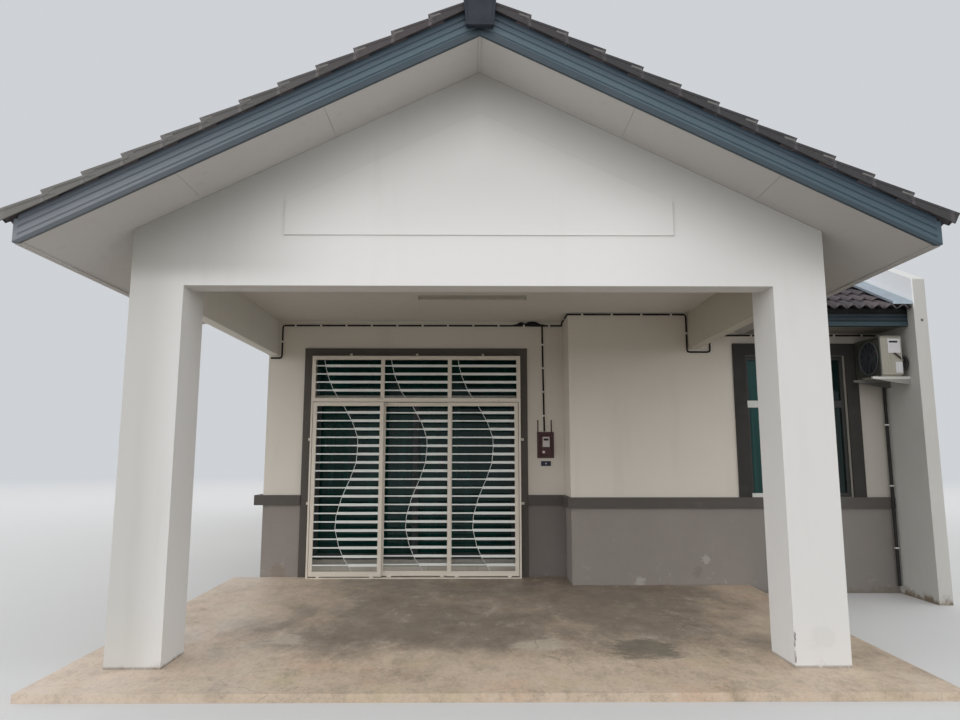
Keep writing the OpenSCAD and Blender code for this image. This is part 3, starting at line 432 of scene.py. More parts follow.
def fired_tile(name, slope, eave, across, start, light=(104, 97, 101), dark=(68, 63, 67), waves=True):
    """Roof tiles: each tile its own tone, a painted highlight above the nose, painted shade in the troughs
    and on the nose face, lichen and dark grey clouds, and on verge tiles painted light on the left and
    painted shade on the right.
    """
    f = Finish(name, rough=0.7, gloss=0.35)
    axis = {"x": f.x, "y": f.y}
    run = f.calc("ABSOLUTE", axis[slope]) if slope == "x" else axis[slope]
    if slope == "x":
        up = f.calc("SUBTRACT", eave, run)
    else:
        up = f.calc("MINIMUM", f.calc("SUBTRACT", run, eave),
                    f.calc("SUBTRACT", 2 * MAIN_RIDGE_Y - eave, run))
    course_at = f.calc("MULTIPLY_ADD", up, SLOPE_LEN / GAUGE, 0.02)
    course = f.calc("FLOOR", course_at)
    column = f.calc("FLOOR", f.calc("MULTIPLY", f.calc("SUBTRACT", axis[across], start), 1.0 / TILE_W))
    own = f.chance_at(course, column, 3.0)
    tile = f.shades(own, dark, light)
    tile = f.coat(tile, (112, 90, 84), f.chance_at(column, course, 9.0), 0.18)
    tile = f.coat(tile, (62, 62, 62), f.between(f.noise(1.6, 4.0), 0.45, 0.8), 0.35)
    lichen = f.between(f.noise(0.03, 4.0, 0.75), 0.62, 0.72)
    tile = f.coat(tile, (140, 138, 126), lichen, 0.35)
    along = f.calc("FRACT", course_at)
    # Painted highlight just above each nose
    tile = f.coat(tile, (134, 126, 130), f.between(along, 0.03, 0.16, 0.4, 0.0))
    # Verge tiles: painted light on the left verge, painted shade on the right one
    if slope == "x" and not waves:
        tile = f.coat(tile, (150, 150, 144), f.between(f.x, -3.3, -0.3, 0.5, 0.0))
        tile = f.coat(tile, (44, 50, 52), f.between(f.x, 0.0, 0.6, 0.0, 0.45))
    if waves:
        # Painted shade in the troughs between the waves, and on the front face of each nose
        turn = f.calc("MULTIPLY", f.calc("SUBTRACT", axis[across], start), 2 * math.pi / TILE_W)
        crest = f.calc("ABSOLUTE", f.calc("COSINE", turn))
        tile = f.coat(tile, (38, 35, 38), f.between(crest, 0.0, 0.8, 0.7, 0.0))
        tile = f.coat(tile, (30, 27, 29), f.between(along, 0.028, 0.036, 0.75, 0.0))
    f.colour(tile)
    f.rough(f.between(own, 0.0, 1.0, 0.6, 0.78))
    f.relief(f.noise(0.008, 4.0, 0.7), 0.0012, 0.6)
    return f.material


def slate_cap(name):
    """Dark ridge caps, a little dusty and worn on top."""
    f = Finish(name, rough=0.55, gloss=0.4)
    cap = f.shades(f.noise(0.35, 5.0, 0.65), (36, 42, 54), (48, 54, 66))
    cap = f.coat(cap, (104, 104, 104), f.between(f.noise(0.02, 4.0, 0.75), 0.58, 0.72), 0.3)
    f.colour(cap)
    f.worn(0.15, 0.45, 0.68)
    f.relief(f.noise(0.006, 4.0, 0.7), 0.0010, 0.5)
    return f.material


def screed():
    """Worn cement floor: tan at the edges, grey-brown in the middle (partly stains, partly painted shade), a
    painted lighter left side, trowel marks and scuffs all over.
    """
    f = Finish("worn_screed", rough=0.6, gloss=0.4)
    tan = f.shades(f.noise(0.7, 6.0, 0.7), (200, 180, 158), (222, 204, 184))
    tan = f.coat(tan, (222, 182, 152), f.between(f.noise(0.5, 5.0, 0.7, shift=(1, 8, 0)), 0.5, 0.7, 0.0, 0.4))
    tan = f.coat(tan, (204, 190, 150), f.between(f.noise(0.4, 5.0, 0.7, shift=(6, 3, 0)), 0.5, 0.7, 0.0, 0.4))
    grey = f.shades(f.noise(0.6, 7.0, 0.75, shift=(3, 1, 0)), (128, 116, 104), (168, 154, 139))
    # Partly real wear and staining, partly painted shade: the floor turns grey-brown deeper in the porch and
    # stays tan towards the front and sides
    side = f.calc("MAXIMUM", f.between(f.x, -3.0, -1.0, 1.1, 0.0), f.between(f.x, 1.8, 3.0, 0.0, 0.7))
    near = f.calc("MAXIMUM", f.between(f.y, -0.5, 0.9, 1.0, 0.0), side)
    worn = f.calc("SUBTRACT", f.noise(1.0, 8.0, 0.75, stretch=(1.1, 0.7, 1), shift=(7, 2, 0)),
                  f.calc("MULTIPLY_ADD", near, 0.40, -0.12))
    floor = f.mix(f.between(worn, 0.28, 0.66), tan, grey)
    swirl = f.noise(0.20, 9.0, 0.85, stretch=(1.0, 0.55, 1), shift=(2, 9, 0))
    floor = f.coat(floor, (116, 103, 90), f.between(swirl, 0.36, 0.54, 0.34, 0.0))
    floor = f.coat(floor, (224, 213, 198), f.between(swirl, 0.54, 0.66, 0.0, 0.50))
    scour = f.noise(0.42, 9.0, 0.82, stretch=(0.9, 0.7, 1), shift=(5, 5, 0))
    floor = f.coat(floor, (108, 98, 87), f.between(scour, 0.52, 0.66, 0.0, 0.34))
    floor = f.coat(floor, (84, 86, 75), f.cloud_at(1.30, 0.30, 0.06, 0.50), 0.55)
    floor = f.coat(floor, (204, 193, 176), f.cloud_at(0.50, 0.40, 0.06, 0.36), 0.7)
    floor = f.coat(floor, (214, 202, 184), f.cloud_at(-1.55, 0.55, 0.06, 0.30), 0.6)
    # Painted light: the left side of the floor is paler where light comes in from outside
    lit_left_floor = times(f, f.between(f.x, -2.9, -1.2, 0.6, 0.0), f.between(f.noise(0.5, 6.0, 0.75), 0.3, 0.6))
    floor = f.coat(floor, (232, 216, 202), lit_left_floor)
    pores = f.noise(0.03, 8.0, 0.85, stretch=(1, 0.6, 1))
    floor = f.coat(floor, (88, 78, 68), f.between(pores, 0.50, 0.68, 0.0, 0.34))
    crack = f.between(f.cells(1.9, "DISTANCE_TO_EDGE", vector=crack_path(f)), 0.0, 0.003, 1.0, 0.0)
    crack = times(f, crack, f.between(f.noise(0.8, shift=(4, 4, 0)), 0.5, 0.6), 0.4)
    floor = f.coat(floor, (84, 74, 64), crack)
    f.colour(floor)
    f.rough(f.between(f.noise(0.6, 4.0), 0.35, 0.65, 0.42, 0.72))
    f.relief(f.noise(0.25, 4.0), 0.004, 0.4)
    f.relief(f.noise(0.012, 4.0, 0.75), 0.0010, 0.6)
    return f.material


def crack_path(f):
    """Object coordinates bent by noise, so that cracks wander."""
    node = f.make("ShaderNodeTexNoise")
    f.put(node.inputs["Vector"], f.place)
    f.put(node.inputs["Scale"], 2.2)
    f.put(node.inputs["Detail"], 4.0)
    bent = f.make("ShaderNodeVectorMath", operation="MULTIPLY_ADD")
    f.put(bent.inputs[0], node.outputs["Color"])
    f.put(bent.inputs[1], (0.5, 0.5, 0.5))
    f.put(bent.inputs[2], f.place)
    return bent.outputs[0]


def teal_glass(name, deep, pale, streaks=0.35, shaded_x=None):
    """Tinted glass: dark teal, streaked by what hangs behind it, glossy on the outside."""
    f = Finish(name, rough=0.06, gloss=0.15)
    fold = f.noise(0.16, 4.0, 0.6, stretch=(1.0, 1.0, 0.05))
    pane = f.shades(f.between(fold, 0.35, 0.7), deep, pale)
    pane = f.coat(pane, pale, f.between(f.noise(0.05, 3.0, stretch=(1, 1, 0.04)), 0.5, 0.7), streaks)
    if shaded_x:
        shade = times(f, f.between(f.x, shaded_x, shaded_x + 0.01, 0.0, 0.8),
                      f.between(f.y, 3.1, 3.2, 1.0, 0.0))
        pane = f.coat(pane, (20, 24, 24), shade)
    f.colour(pane)
    f.skin.inputs["Transmission Weight"].default_value = 0.25
    f.skin.inputs["IOR"].default_value = 1.5
    f.worn(0.5, 0.03, 0.09)
    return f.material


def steel_paint(name, light, dark, rust=0.0, rust_z=None, rough=0.42):
    """Enamel on steel, with rust where water stands."""
    f = Finish(name, rough=rough, gloss=0.5)
    paint = f.shades(f.noise(0.3, 5.0, 0.6), dark, light)
    if rust:
        wet = f.between(f.noise(0.035, 5.0, 0.75), 0.60, 0.70)
        if rust_z is not None:
            near = f.between(f.calc("ABSOLUTE", f.calc("SUBTRACT", f.z, rust_z)), 0.02, 0.05, 1.0, 0.06)
            wet = times(f, wet, near)
        paint = f.coat(paint, (132, 92, 62), wet, rust)
    f.colour(paint)
    f.worn(0.1, rough - 0.08, rough + 0.12)
    f.relief(f.noise(0.01, 3.0, 0.6), 0.0004, 0.4)
    return f.material


def cooler_paint():
    """Cream enamel on the outdoor unit, darkened as painted shade, and dark grey on the side where the fan
    is.
    """
    f = Finish("cooler_enamel", rough=0.45, gloss=0.45)
    # The cream is darkened as painted shade for the recess the unit hangs in
    cream = f.shades(f.noise(0.2, 5.0, 0.6), (146, 142, 130), (162, 158, 146))
    cream = f.coat(cream, (124, 104, 78), f.between(f.noise(0.035, 5.0, 0.75), 0.60, 0.72, 0.0, 0.25))
    # The side where the fan is turns dark grey
    fan_side_grey = f.shades(f.noise(0.15, 5.0, 0.7), (52, 55, 52), (70, 72, 68))
    f.colour(f.mix(f.between(f.x, 4.500, 4.508, 0.92, 0.0), cream, fan_side_grey))
    f.worn(0.1, 0.36, 0.56)
    f.relief(f.noise(0.01, 3.0, 0.6), 0.0004, 0.4)
    return f.material


def bracket_paint():
    """Enamel on the two brackets, with painted shade below the top edge and over the far one."""
    f = Finish("bracket_enamel", rough=0.45, gloss=0.45)
    grey = f.shades(f.noise(0.2, 5.0, 0.6), (196, 195, 190), (210, 209, 204))
    # Painted shade below the top edge of the brackets, and over the far bracket
    grey = f.coat(grey, (112, 112, 106), f.between(f.z, 2.396, 2.404, 0.75, 0.0))
    f.colour(f.coat(grey, (84, 84, 80), f.between(f.y, 2.5, 2.6, 0.0, 0.8)))
    f.worn(0.1, 0.36, 0.56)
    f.relief(f.noise(0.01, 3.0, 0.6), 0.0004, 0.4)
    return f.material


def moulded(name, light, dark, rough=0.5, speck=0.0):
    """Moulded plastic with a fine skin."""
    f = Finish(name, rough=rough, gloss=0.45)
    skin = f.shades(f.noise(0.12, 4.0, 0.6), dark, light)
    if speck:
        skin = f.coat(skin, (96, 88, 78), f.between(f.noise(0.01, 4.0, 0.75), 0.6, 0.7), speck)
    f.colour(skin)
    f.worn(0.05, rough - 0.06, rough + 0.1)
    f.relief(f.noise(0.003, 3.0, 0.6), 0.0002, 0.4)
    return f.material


def window_paint():
    """Window frames: white sills and transoms between dark stiles and heads, told apart by their height; on
    the right half of the front window the white parts are painted dark as shade.
    """
    f = Finish("window_frame_paint", rough=0.4, gloss=0.45)
    white = f.shades(f.noise(0.12, 4.0, 0.6), (212, 212, 208), (224, 224, 220))
    bronze = f.shades(f.noise(0.12, 4.0, 0.6), (44, 44, 42), (54, 54, 52))
    sill = f.between(f.z, 1.119, 1.121, 1.0, 0.0)
    transom = times(f, f.between(f.z, 2.119, 2.121), f.between(f.z, 2.201, 2.203, 1.0, 0.0))
    # Painted shade: the white parts on the right half of the front window stay dark
    dull = times(f, f.between(f.x, WINDOW_MIDDLE, WINDOW_MIDDLE + 0.01), f.between(f.y, 3.1, 3.2, 1.0, 0.0))
    pale = times(f, f.calc("MAXIMUM", sill, transom), f.calc("SUBTRACT", 1.0, dull))
    f.colour(f.mix(pale, bronze, white))
    f.worn(0.05, 0.34, 0.5)
    f.relief(f.noise(0.003, 3.0, 0.6), 0.0002, 0.4)
    return f.material


def bright_metal(name, light, dark, rough=0.4):
    """Bare or lightly coated metal sheet with drawn grain and dull patches."""
    f = Finish(name, rough=rough, metal=0.6, gloss=0.5)
    sheet = f.shades(f.noise(0.2, 5.0, 0.65), dark, light)
    f.colour(f.coat(sheet, dark, f.between(f.cells(0.02, out="Distance"), 0.0, 0.6), 0.12))
    f.rough(f.between(f.noise(0.06, 4.0), 0.3, 0.7, rough - 0.12, rough + 0.15))
    f.relief(f.noise(0.004, 3.0), 0.0003, 0.3)
    return f.material


def room_tiles():
    """Pale floor tiles of 600 mm with thin joints."""
    f = Finish("room_floor_tiles", rough=0.25, gloss=0.5)
    joint = None
    for part in (f.x, f.y):
        edge = f.calc("PINGPONG", part, 0.3)
        line = f.between(edge, 0.0015, 0.003, 1.0, 0.0)
        joint = line if joint is None else f.calc("MAXIMUM", joint, line)
    column = f.calc("FLOOR", f.calc("MULTIPLY", f.x, 1 / 0.6))
    row = f.calc("FLOOR", f.calc("MULTIPLY", f.y, 1 / 0.6))
    tile = f.shades(f.chance_at(column, row, 1.0), (196, 190, 178), (206, 201, 190))
    tile = f.coat(tile, (184, 174, 158), f.between(f.noise(0.18, 6.0, 0.7), 0.5, 0.7), 0.3)
    f.colour(f.coat(tile, (140, 134, 126), joint))
    f.rough(f.between(joint, 0.0, 1.0, 0.22, 0.7))
    f.relief(joint, -0.001, 0.6)
    return f.material


# Shaping tools
def only(o):
    bpy.ops.object.select_all(action="DESELECT")
    o.select_set(True)
    bpy.context.view_layer.objects.active = o


def settle(o):
    """Puts the object's place, turn and size into its mesh."""
    only(o)
    bpy.ops.object.transform_apply(location=True, rotation=True, scale=True)
    return o


@contextmanager
def shaping(o):
    only(o)
    bpy.ops.object.mode_set(mode="EDIT")
    bpy.ops.mesh.select_all(action="DESELECT")
    yield
    bpy.ops.object.mode_set(mode="OBJECT")


def pick(o, test, kind="FACE"):
    """In edit mode, selects the faces, edges or corners that pass the test, and nothing else."""
    bpy.ops.mesh.select_mode(type=kind)
    bpy.ops.mesh.select_all(action="DESELECT")
    shape = bmesh.from_edit_mesh(o.data)
    for part in {"FACE": shape.faces, "EDGE": shape.edges, "VERT": shape.verts}[kind]:
        if test(part):
            part.select_set(True)
    bmesh.update_edit_mesh(o.data)


def finish_modifier(o, kind, **settings):
    only(o)
    m = o.modifiers.new(kind.lower(), kind)
    for key, value in settings.items():
        setattr(m, key, value)
    bpy.ops.object.modifier_apply(modifier=m.name)
    return o


def repeat(o, count, step):
    """Copies of the piece in a row, each one step from the last."""
    return finish_modifier(o, "ARRAY", count=count, use_relative_offset=False, use_constant_offset=True,
                           constant_offset_displace=step)


def recess(o, axis, margin, sink):
    """Sinks the face that looks down that axis, inside an even margin. A negative sink raises it."""
    with shaping(o):
        pick(o, lambda f: getattr(f.normal, axis) < -0.9)
        bpy.ops.mesh.inset(thickness=margin)
        bpy.ops.mesh.extrude_region_move(
            TRANSFORM_OT_translate={"value": [sink if letter == axis else 0 for letter in "xyz"]})
    return o


def cut_all(point, normal):
    """In edit mode, cuts every face along a plane."""
    bpy.ops.mesh.select_all(action="SELECT")
    bpy.ops.mesh.bisect(plane_co=point, plane_no=normal)


def soften(o, width, segments=2, angle=30):
    return finish_modifier(o, "BEVEL", width=width, segments=segments, limit_method="ANGLE",
                           angle_limit=math.radians(angle))


def face_out(o):
    with shaping(o):
        bpy.ops.mesh.select_all(action="SELECT")
        bpy.ops.mesh.normals_make_consistent(inside=False)
    return o


def block(name, low, high):
    """A block between two corners, ready to be shaped."""
    low, high = Vector(low), Vector(high)
    bpy.ops.object.select_all(action="DESELECT")
    bpy.ops.mesh.primitive_cube_add(size=1, location=(low + high) / 2)
    o = bpy.context.object
    o.name = o.data.name = name
    o.scale = high - low
    return settle(o)


def joined(name, parts):
    bpy.ops.object.select_all(action="DESELECT")
    for o in parts:
        o.select_set(True)
    bpy.context.view_layer.objects.active = parts[0]
    if len(parts) > 1:
        bpy.ops.object.join()
    parts[0].name = parts[0].data.name = name
    return parts[0]


def twin(o):
    """A copy with its own mesh."""
    other = o.copy()
    other.data = o.data.copy()
    scene.collection.objects.link(other)
    return other


def put_down(o, origin, along, up, out):
    """Lays a piece drawn in X, Y, Z on the three given directions at the origin."""
    turn = Matrix([Vector(v).normalized() for v in (along, up, out)]).transposed().to_4x4()
    o.data.transform(Matrix.Translation(Vector(origin)) @ turn)
    o.data.update()
    return face_out(o)


def slice_at(o, point, normal, clear=False):
    """Cuts along a plane. With clear, what lies on the side of the normal goes."""
    with shaping(o):
        bpy.ops.mesh.select_all(action="SELECT")
        bpy.ops.mesh.bisect(plane_co=point, plane_no=normal, clear_outer=clear, use_fill=False)
    return o


def drop_faces(o, test):
    with shaping(o):
        pick(o, test)
        bpy.ops.mesh.delete(type="FACE")
    return o


def close_holes(o):
    with shaping(o):
        bpy.ops.mesh.select_mode(type="EDGE")
        bpy.ops.mesh.select_all(action="SELECT")
        bpy.ops.mesh.fill_holes(sides=0)
        bpy.ops.mesh.select_all(action="SELECT")
        bpy.ops.mesh.normals_make_consistent(inside=False)
    return o


def cad_copy(name, node):
    """A merged copy of a CAD node's mesh, free to be shaped."""
    o = twin(NODES[node])
    for key in list(o.keys()):
        del o[key]
    o.name = o.data.name = name
    o.parent = None
    o.hide_render = o.hide_viewport = False
    o.data.materials.clear()
    with shaping(o):
        bpy.ops.mesh.select_all(action="SELECT")
        bpy.ops.mesh.remove_doubles(threshold=0.00005)
        bpy.ops.mesh.dissolve_limited(angle_limit=math.radians(0.2))
    return o


def tube(name, points, radius, sides=8, smooth=False, closed=False):
    """A round bar or pipe along the points."""
    line = bpy.data.curves.new(name, "CURVE")
    line.dimensions = "3D"
    kind = "NURBS" if smooth else "POLY"
    run = line.splines.new(kind)
    run.points.add(len(points) - 1)
    for spot, p in zip(run.points, points):
        spot.co = (*p, 1.0)
    run.use_cyclic_u = closed
    if smooth:
        run.order_u = 3
        run.use_endpoint_u = not closed
        run.resolution_u = 5
    line.bevel_depth = radius
    line.bevel_resolution = max(0, (sides - 4) // 2)
    line.use_fill_caps = not closed
    o = bpy.data.objects.new(name, line)
    scene.collection.objects.link(o)
    only(o)
    bpy.ops.object.convert(target="MESH")
    o = bpy.context.object
    with shaping(o):
        bpy.ops.mesh.select_all(action="SELECT")
        bpy.ops.mesh.remove_doubles(threshold=0.00002)
        bpy.ops.mesh.normals_make_consistent(inside=False)
    only(o)
    bpy.ops.object.shade_smooth_by_angle(angle=math.radians(40))
    return o


def disc(name, centre, radius, depth, axis="X", sides=32):
    """A round block along X, Y or Z about its centre."""
    bpy.ops.object.select_all(action="DESELECT")
    bpy.ops.mesh.primitive_cylinder_add(vertices=sides, radius=radius, depth=depth, location=centre)
    o = bpy.context.object
    o.name = o.data.name = name
    o.rotation_euler = {"X": (0, math.pi / 2, 0), "Y": (math.pi / 2, 0, 0), "Z": (0, 0, 0)}[axis]
    return settle(o)


def done(o, body, finish, slot, *nodes):
    """Gives a finished piece its finish and its body, and hides the nodes that it stands for."""
    o.data.materials.clear()
    o.data.materials.append(finish)
    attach(o, body)
    if nodes:
        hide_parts(*nodes)
    return o


# Roof
def wave_tile():
    """One tile of two rounded waves, nose at Y 0, tail at Y 0.38, crest of the nose at Z 0."""
    steps = 12
    bpy.ops.object.select_all(action="DESELECT")
    bpy.ops.mesh.primitive_grid_add(x_subdivisions=steps, y_subdivisions=1, size=1,
                                    location=(TILE_W / 2, 0.19, 0))
    o = bpy.context.object
    o.scale = (TILE_W - 0.002, 0.38, 1)
    settle(o)
    lean = COURSE_STEP / GAUGE
    with shaping(o):
        for i in range(steps + 1):
            x = 0.001 + (TILE_W - 0.002) * i / steps
            drop = 1.2 * WAVE_H * (1.03 - math.sqrt(math.cos(2 * math.pi * x / TILE_W) ** 2 + 0.06))
            pick(o, lambda v: abs(v.co.x - x) < 0.002, "VERT")
            bpy.ops.transform.translate(value=(0, 0, -drop))
        pick(o, lambda v: v.co.y > 0.3, "VERT")
        bpy.ops.transform.translate(value=(0, 0, -lean * 0.38))
    finish_modifier(o, "SOLIDIFY", thickness=TILE_T, offset=-1.0)
    only(o)
    bpy.ops.object.shade_smooth_by_angle(angle=math.radians(40))
    return o


def tile_field(name, origin, along, up, out, columns, courses, reach=0.0):
    """Rows of tiles from the eave up, the first row longer by its reach, to be cut to their roof."""
    o = wave_tile()
    o.name = o.data.name = name
    repeat(o, columns, (TILE_W, 0, 0))
    repeat(o, courses, (0, GAUGE, 0))
    lengthen_first(o, reach)
    return put_down(o, origin, along, up, out)


def lengthen_first(o, reach):
    """Draws the nose of the first row down over the eave."""
    if reach:
        with shaping(o):
            pick(o, lambda v: v.co.y < 0.03, "VERT")
            bpy.ops.transform.translate(value=(0, -reach, reach * COURSE_STEP / GAUGE))


def verge_tile():
    """One verge tile: a flange with a square nose over an upright side with a straight lower edge."""
    flange = block("verge_flange", (0, 0, 0.002), (0.115, 0.340, 0.022))
    side = block("verge_side", (0.003, 0.0005, -0.062), (0.014, GAUGE - 0.0015, 0.004))
    for o, tail in ((flange, 0.340), (side, GAUGE)):
        with shaping(o):
            pick(o, lambda v: v.co.y > 0.2 and v.co.z > -0.03, "VERT")
            bpy.ops.transform.translate(value=(0, 0, -tail * COURSE_STEP / GAUGE))
    return soften(joined("verge_tile", [flange, side]), 0.002, 1, 50)


def verge_bedding():
    """The mortar that shows under the nose of a verge tile."""
    o = block("verge_bedding", (0.0005, 0.006, -0.010), (0.010, 0.085, 0.004))
    with shaping(o):
        pick(o, lambda v: v.co.y > 0.05, "VERT")
        bpy.ops.transform.translate(value=(0, 0, -0.008))
    return soften(o, 0.002, 1, 40)


def verge_run(name, piece, origin, inward, up, out, courses, first=0, reach=0.0):
    """Verge pieces up one slope, from the given course on."""
    piece.name = piece.data.name = name
    repeat(piece, courses, (0, GAUGE, 0))
    lengthen_first(piece, reach)
    piece.data.transform(Matrix.Translation((0, first * GAUGE, 0)))
    return put_down(piece, origin, inward, up, out)


def chamfer_shoulders(o):
    """In edit mode, bevels the two upper edges that run along Y."""
    pick(o, lambda e: all(v.co.z > 0.07 for v in e.verts)
         and abs(e.verts[0].co.x - e.verts[1].co.x) < 0.001, "EDGE")
    bpy.ops.mesh.bevel(offset=0.045, segments=2, affect="EDGES")


def ridge_cap():
    """One cap along Y: a collar with chamfered shoulders, and a slimmer body behind it."""
    o = block("ridge_cap", (-0.117, 0, -0.06), (0.117, 0.075, 0.075))
    with shaping(o):
        chamfer_shoulders(o)
        pick(o, lambda f: f.normal.y > 0.9)
        bpy.ops.mesh.inset(thickness=0.009)
        bpy.ops.mesh.extrude_region_move(TRANSFORM_OT_translate={"value": (0, 0.36, 0)})
    soften(o, 0.004, 1, 50)
    return o


def ridge_run(name, origin, along, side, length):
    o = ridge_cap()
    o.name = o.data.name = name
    repeat(o, math.ceil(length / 0.40), (0, 0.40, 0))
    return put_down(o, origin, side, along, (0, 0, 1))


def ridge_end(name, origin, along, side):
    """The closed end of a ridge: a cover that narrows and thins towards its foot, with a sunk face."""
    o = block(name, (-0.124, -0.048, -0.256), (0.124, 0.02, 0.075))
    with shaping(o):
        chamfer_shoulders(o)
        pick(o, lambda f: f.normal.y < -0.9)
        bpy.ops.mesh.inset(thickness=0.018)
        bpy.ops.mesh.extrude_region_move(TRANSFORM_OT_translate={"value": (0, 0.006, 0)})
        pick(o, lambda v: v.co.z < -0.2, "VERT")
        bpy.ops.transform.resize(value=(0.80, 1, 1))
        pick(o, lambda v: v.co.z < -0.2 and v.co.y < 0, "VERT")
        bpy.ops.transform.translate(value=(0, 0.022, 0))
    soften(o, 0.006, 2, 50)
    return put_down(o, origin, side, along, (0, 0, 1))


def underlay(name, node, planes):
    """What lies under the tiles: the roof slab, cut down from above and back from its edges."""
    o = cad_copy(name, node)
    for point, normal in planes:
        slice_at(o, point, normal, True)
        close_holes(o)
    return o


def make_roof(tile_porch, tile_main, verge_finish, verge_main, cap_finish, under_finish, metal, bright_edge,
              mortar):
    drop = 0.080
    reach = (HALF_TILES - 0.011 - FIRST_NOSE) * SLOPE_LEN
    for side, name in ((1, "right"), (-1, "left")):
        nose = (side * FIRST_NOSE, VERGE_Y + 0.006, PORCH_RIDGE - RISE * FIRST_NOSE + NOSE_UP)
        up, out = (-side, 0, RISE), (side * RISE, 0, 1)
        o = tile_field(f"porch_tiles_{name}", nose, (0, 1, 0), up, out, 23, 13, reach)
        slice_at(o, (side * 0.012, 0, 0), (-side, 0, 0), True)
        slice_at(o, (0, VALLEY_Y, 0), (side, 1, 0))
        slice_at(o, (0, MAIN_NOSE_Y, 0), (0, 1, 0))
        drop_faces(o, lambda f: f.calc_center_median().y > MAIN_NOSE_Y
                   and f.calc_center_median().y + abs(f.calc_center_median().x) > VALLEY_Y)
        close_holes(o)
        done(o, "house", tile_porch, "roof_tile", *(["porch_roof"] if side == 1 else []))
        verge = (side * FIRST_NOSE, VERGE_Y, nose[2] - NOSE_UP)
        v = verge_run(f"porch_verge_tiles_{name}", verge_tile(), verge, (0, 1, 0), up, out, 13, reach=reach)
        slice_at(v, (side * 0.06, 0, 0), (-side, 0, 0), True)
        close_holes(v)
        done(v, "house", verge_finish, "roof_tile")
        m = verge_run(f"porch_verge_bedding_{name}", verge_bedding(), verge, (0, 1, 0), up, out, 11, first=1)
        done(m, "house", mortar, "roof_tile")
    o = underlay("porch_roof_underlay", "porch_roof", [
        ((0, 0, PORCH_RIDGE - drop), (RISE, 0, 1)), ((0, 0, PORCH_RIDGE - drop), (-RISE, 0, 1)),
        ((HALF_FASCIA - 0.01, 0, 0), (1, 0, 0)), ((0.01 - HALF_FASCIA, 0, 0), (-1, 0, 0)),
        ((0, BARGE_Y + 0.01, 0), (0, -1, 0))])
    done(o, "house", under_finish, "roof_tile")

    main_low = MAIN_EAVE_TOP - RISE * EAVE_OVER + 0.003
    front = tile_field("main_tiles_front", (VERGE_X + 0.006, MAIN_NOSE_Y + 0.006, main_low),
                       (1, 0, 0), (0, 1, RISE), (0, -RISE, 1), 29, 26)
    slice_at(front, (PARTY_X - 0.001, 0, 0), (1, 0, 0), True)
    slice_at(front, (0, MAIN_RIDGE_Y - 0.012, 0), (0, 1, 0), True)
    slice_at(front, (0, VALLEY_Y, 0), (1, 1, 0))
    slice_at(front, (0, VALLEY_Y, 0), (-1, 1, 0))
    drop_faces(front, lambda f: f.calc_center_median().y < VALLEY_Y - abs(f.calc_center_median().x))
    close_holes(front)
    done(front, "house", tile_main, "roof_tile", "main_roof_front")
    back = tile_field("main_tiles_back", (VERGE_X + 0.006, BACK_NOSE_Y - 0.006, main_low),
                      (1, 0, 0), (0, -1, RISE), (0, RISE, 1), 29, 26)
    slice_at(back, (PARTY_X - 0.001, 0, 0), (1, 0, 0), True)
    slice_at(back, (0, MAIN_RIDGE_Y + 0.012, 0), (0, -1, 0), True)
    close_holes(back)
    done(back, "house", tile_main, "roof_tile", "main_roof_back")
    for name, eave_y, way in (("front", MAIN_NOSE_Y + 0.006, 1), ("back", BACK_NOSE_Y - 0.006, -1)):
        foot, up, out = (VERGE_X, eave_y, main_low), (0, way, RISE), (0, -way * RISE, 1)
        v = verge_run(f"main_verge_tiles_{name}", verge_tile(), foot, (1, 0, 0), up, out, 26)
        slice_at(v, (0, MAIN_RIDGE_Y - way * 0.06, 0), (0, way, 0), True)
        close_holes(v)
        done(v, "house", verge_main, "roof_tile")
        m = verge_run(f"main_verge_bedding_{name}", verge_bedding(), foot, (1, 0, 0), up, out, 24, first=1)
        done(m, "house", mortar, "roof_tile")
        node = f"main_roof_{name}"
        edge = (0, MAIN_EAVE_Y + 0.01 if way == 1 else BACK_EAVE_Y - 0.01, 0)
        u = underlay(f"main_roof_underlay_{name}", node, [
            ((0, MAIN_RIDGE_Y, MAIN_RIDGE - drop), (0, -way * RISE, 1)), (edge, (0, -way, 0)),
            ((-HALF_FASCIA + 0.01, 0, 0), (-1, 0, 0))])
        done(u, "house", under_finish, "roof_tile")

    o = ridge_run("porch_ridge_caps", (0, VERGE_Y, PORCH_RIDGE), (0, 1, 0), (1, 0, 0), 6.45)
    slice_at(o, (0, MAIN_EAVE_Y, MAIN_EAVE_TOP - 0.03), (0, RISE, -1), True)
    close_holes(o)
    done(o, "house", cap_finish, "ridge_tile", "ridge_caps")
    done(ridge_end("porch_ridge_end", (0, VERGE_Y, PORCH_RIDGE), (0, 1, 0), (1, 0, 0)), "house", cap_finish,
         "ridge_tile")
    o = ridge_run("main_ridge_caps", (VERGE_X, MAIN_RIDGE_Y, MAIN_RIDGE), (1, 0, 0), (0, -1, 0), 8.08)
    slice_at(o, (PARTY_X - 0.001, 0, 0), (1, 0, 0), True)
    close_holes(o)
    done(o, "house", cap_finish, "ridge_tile")
    done(ridge_end("main_ridge_end", (VERGE_X, MAIN_RIDGE_Y, MAIN_RIDGE), (1, 0, 0), (0, -1, 0)), "house",
         cap_finish, "ridge_tile")

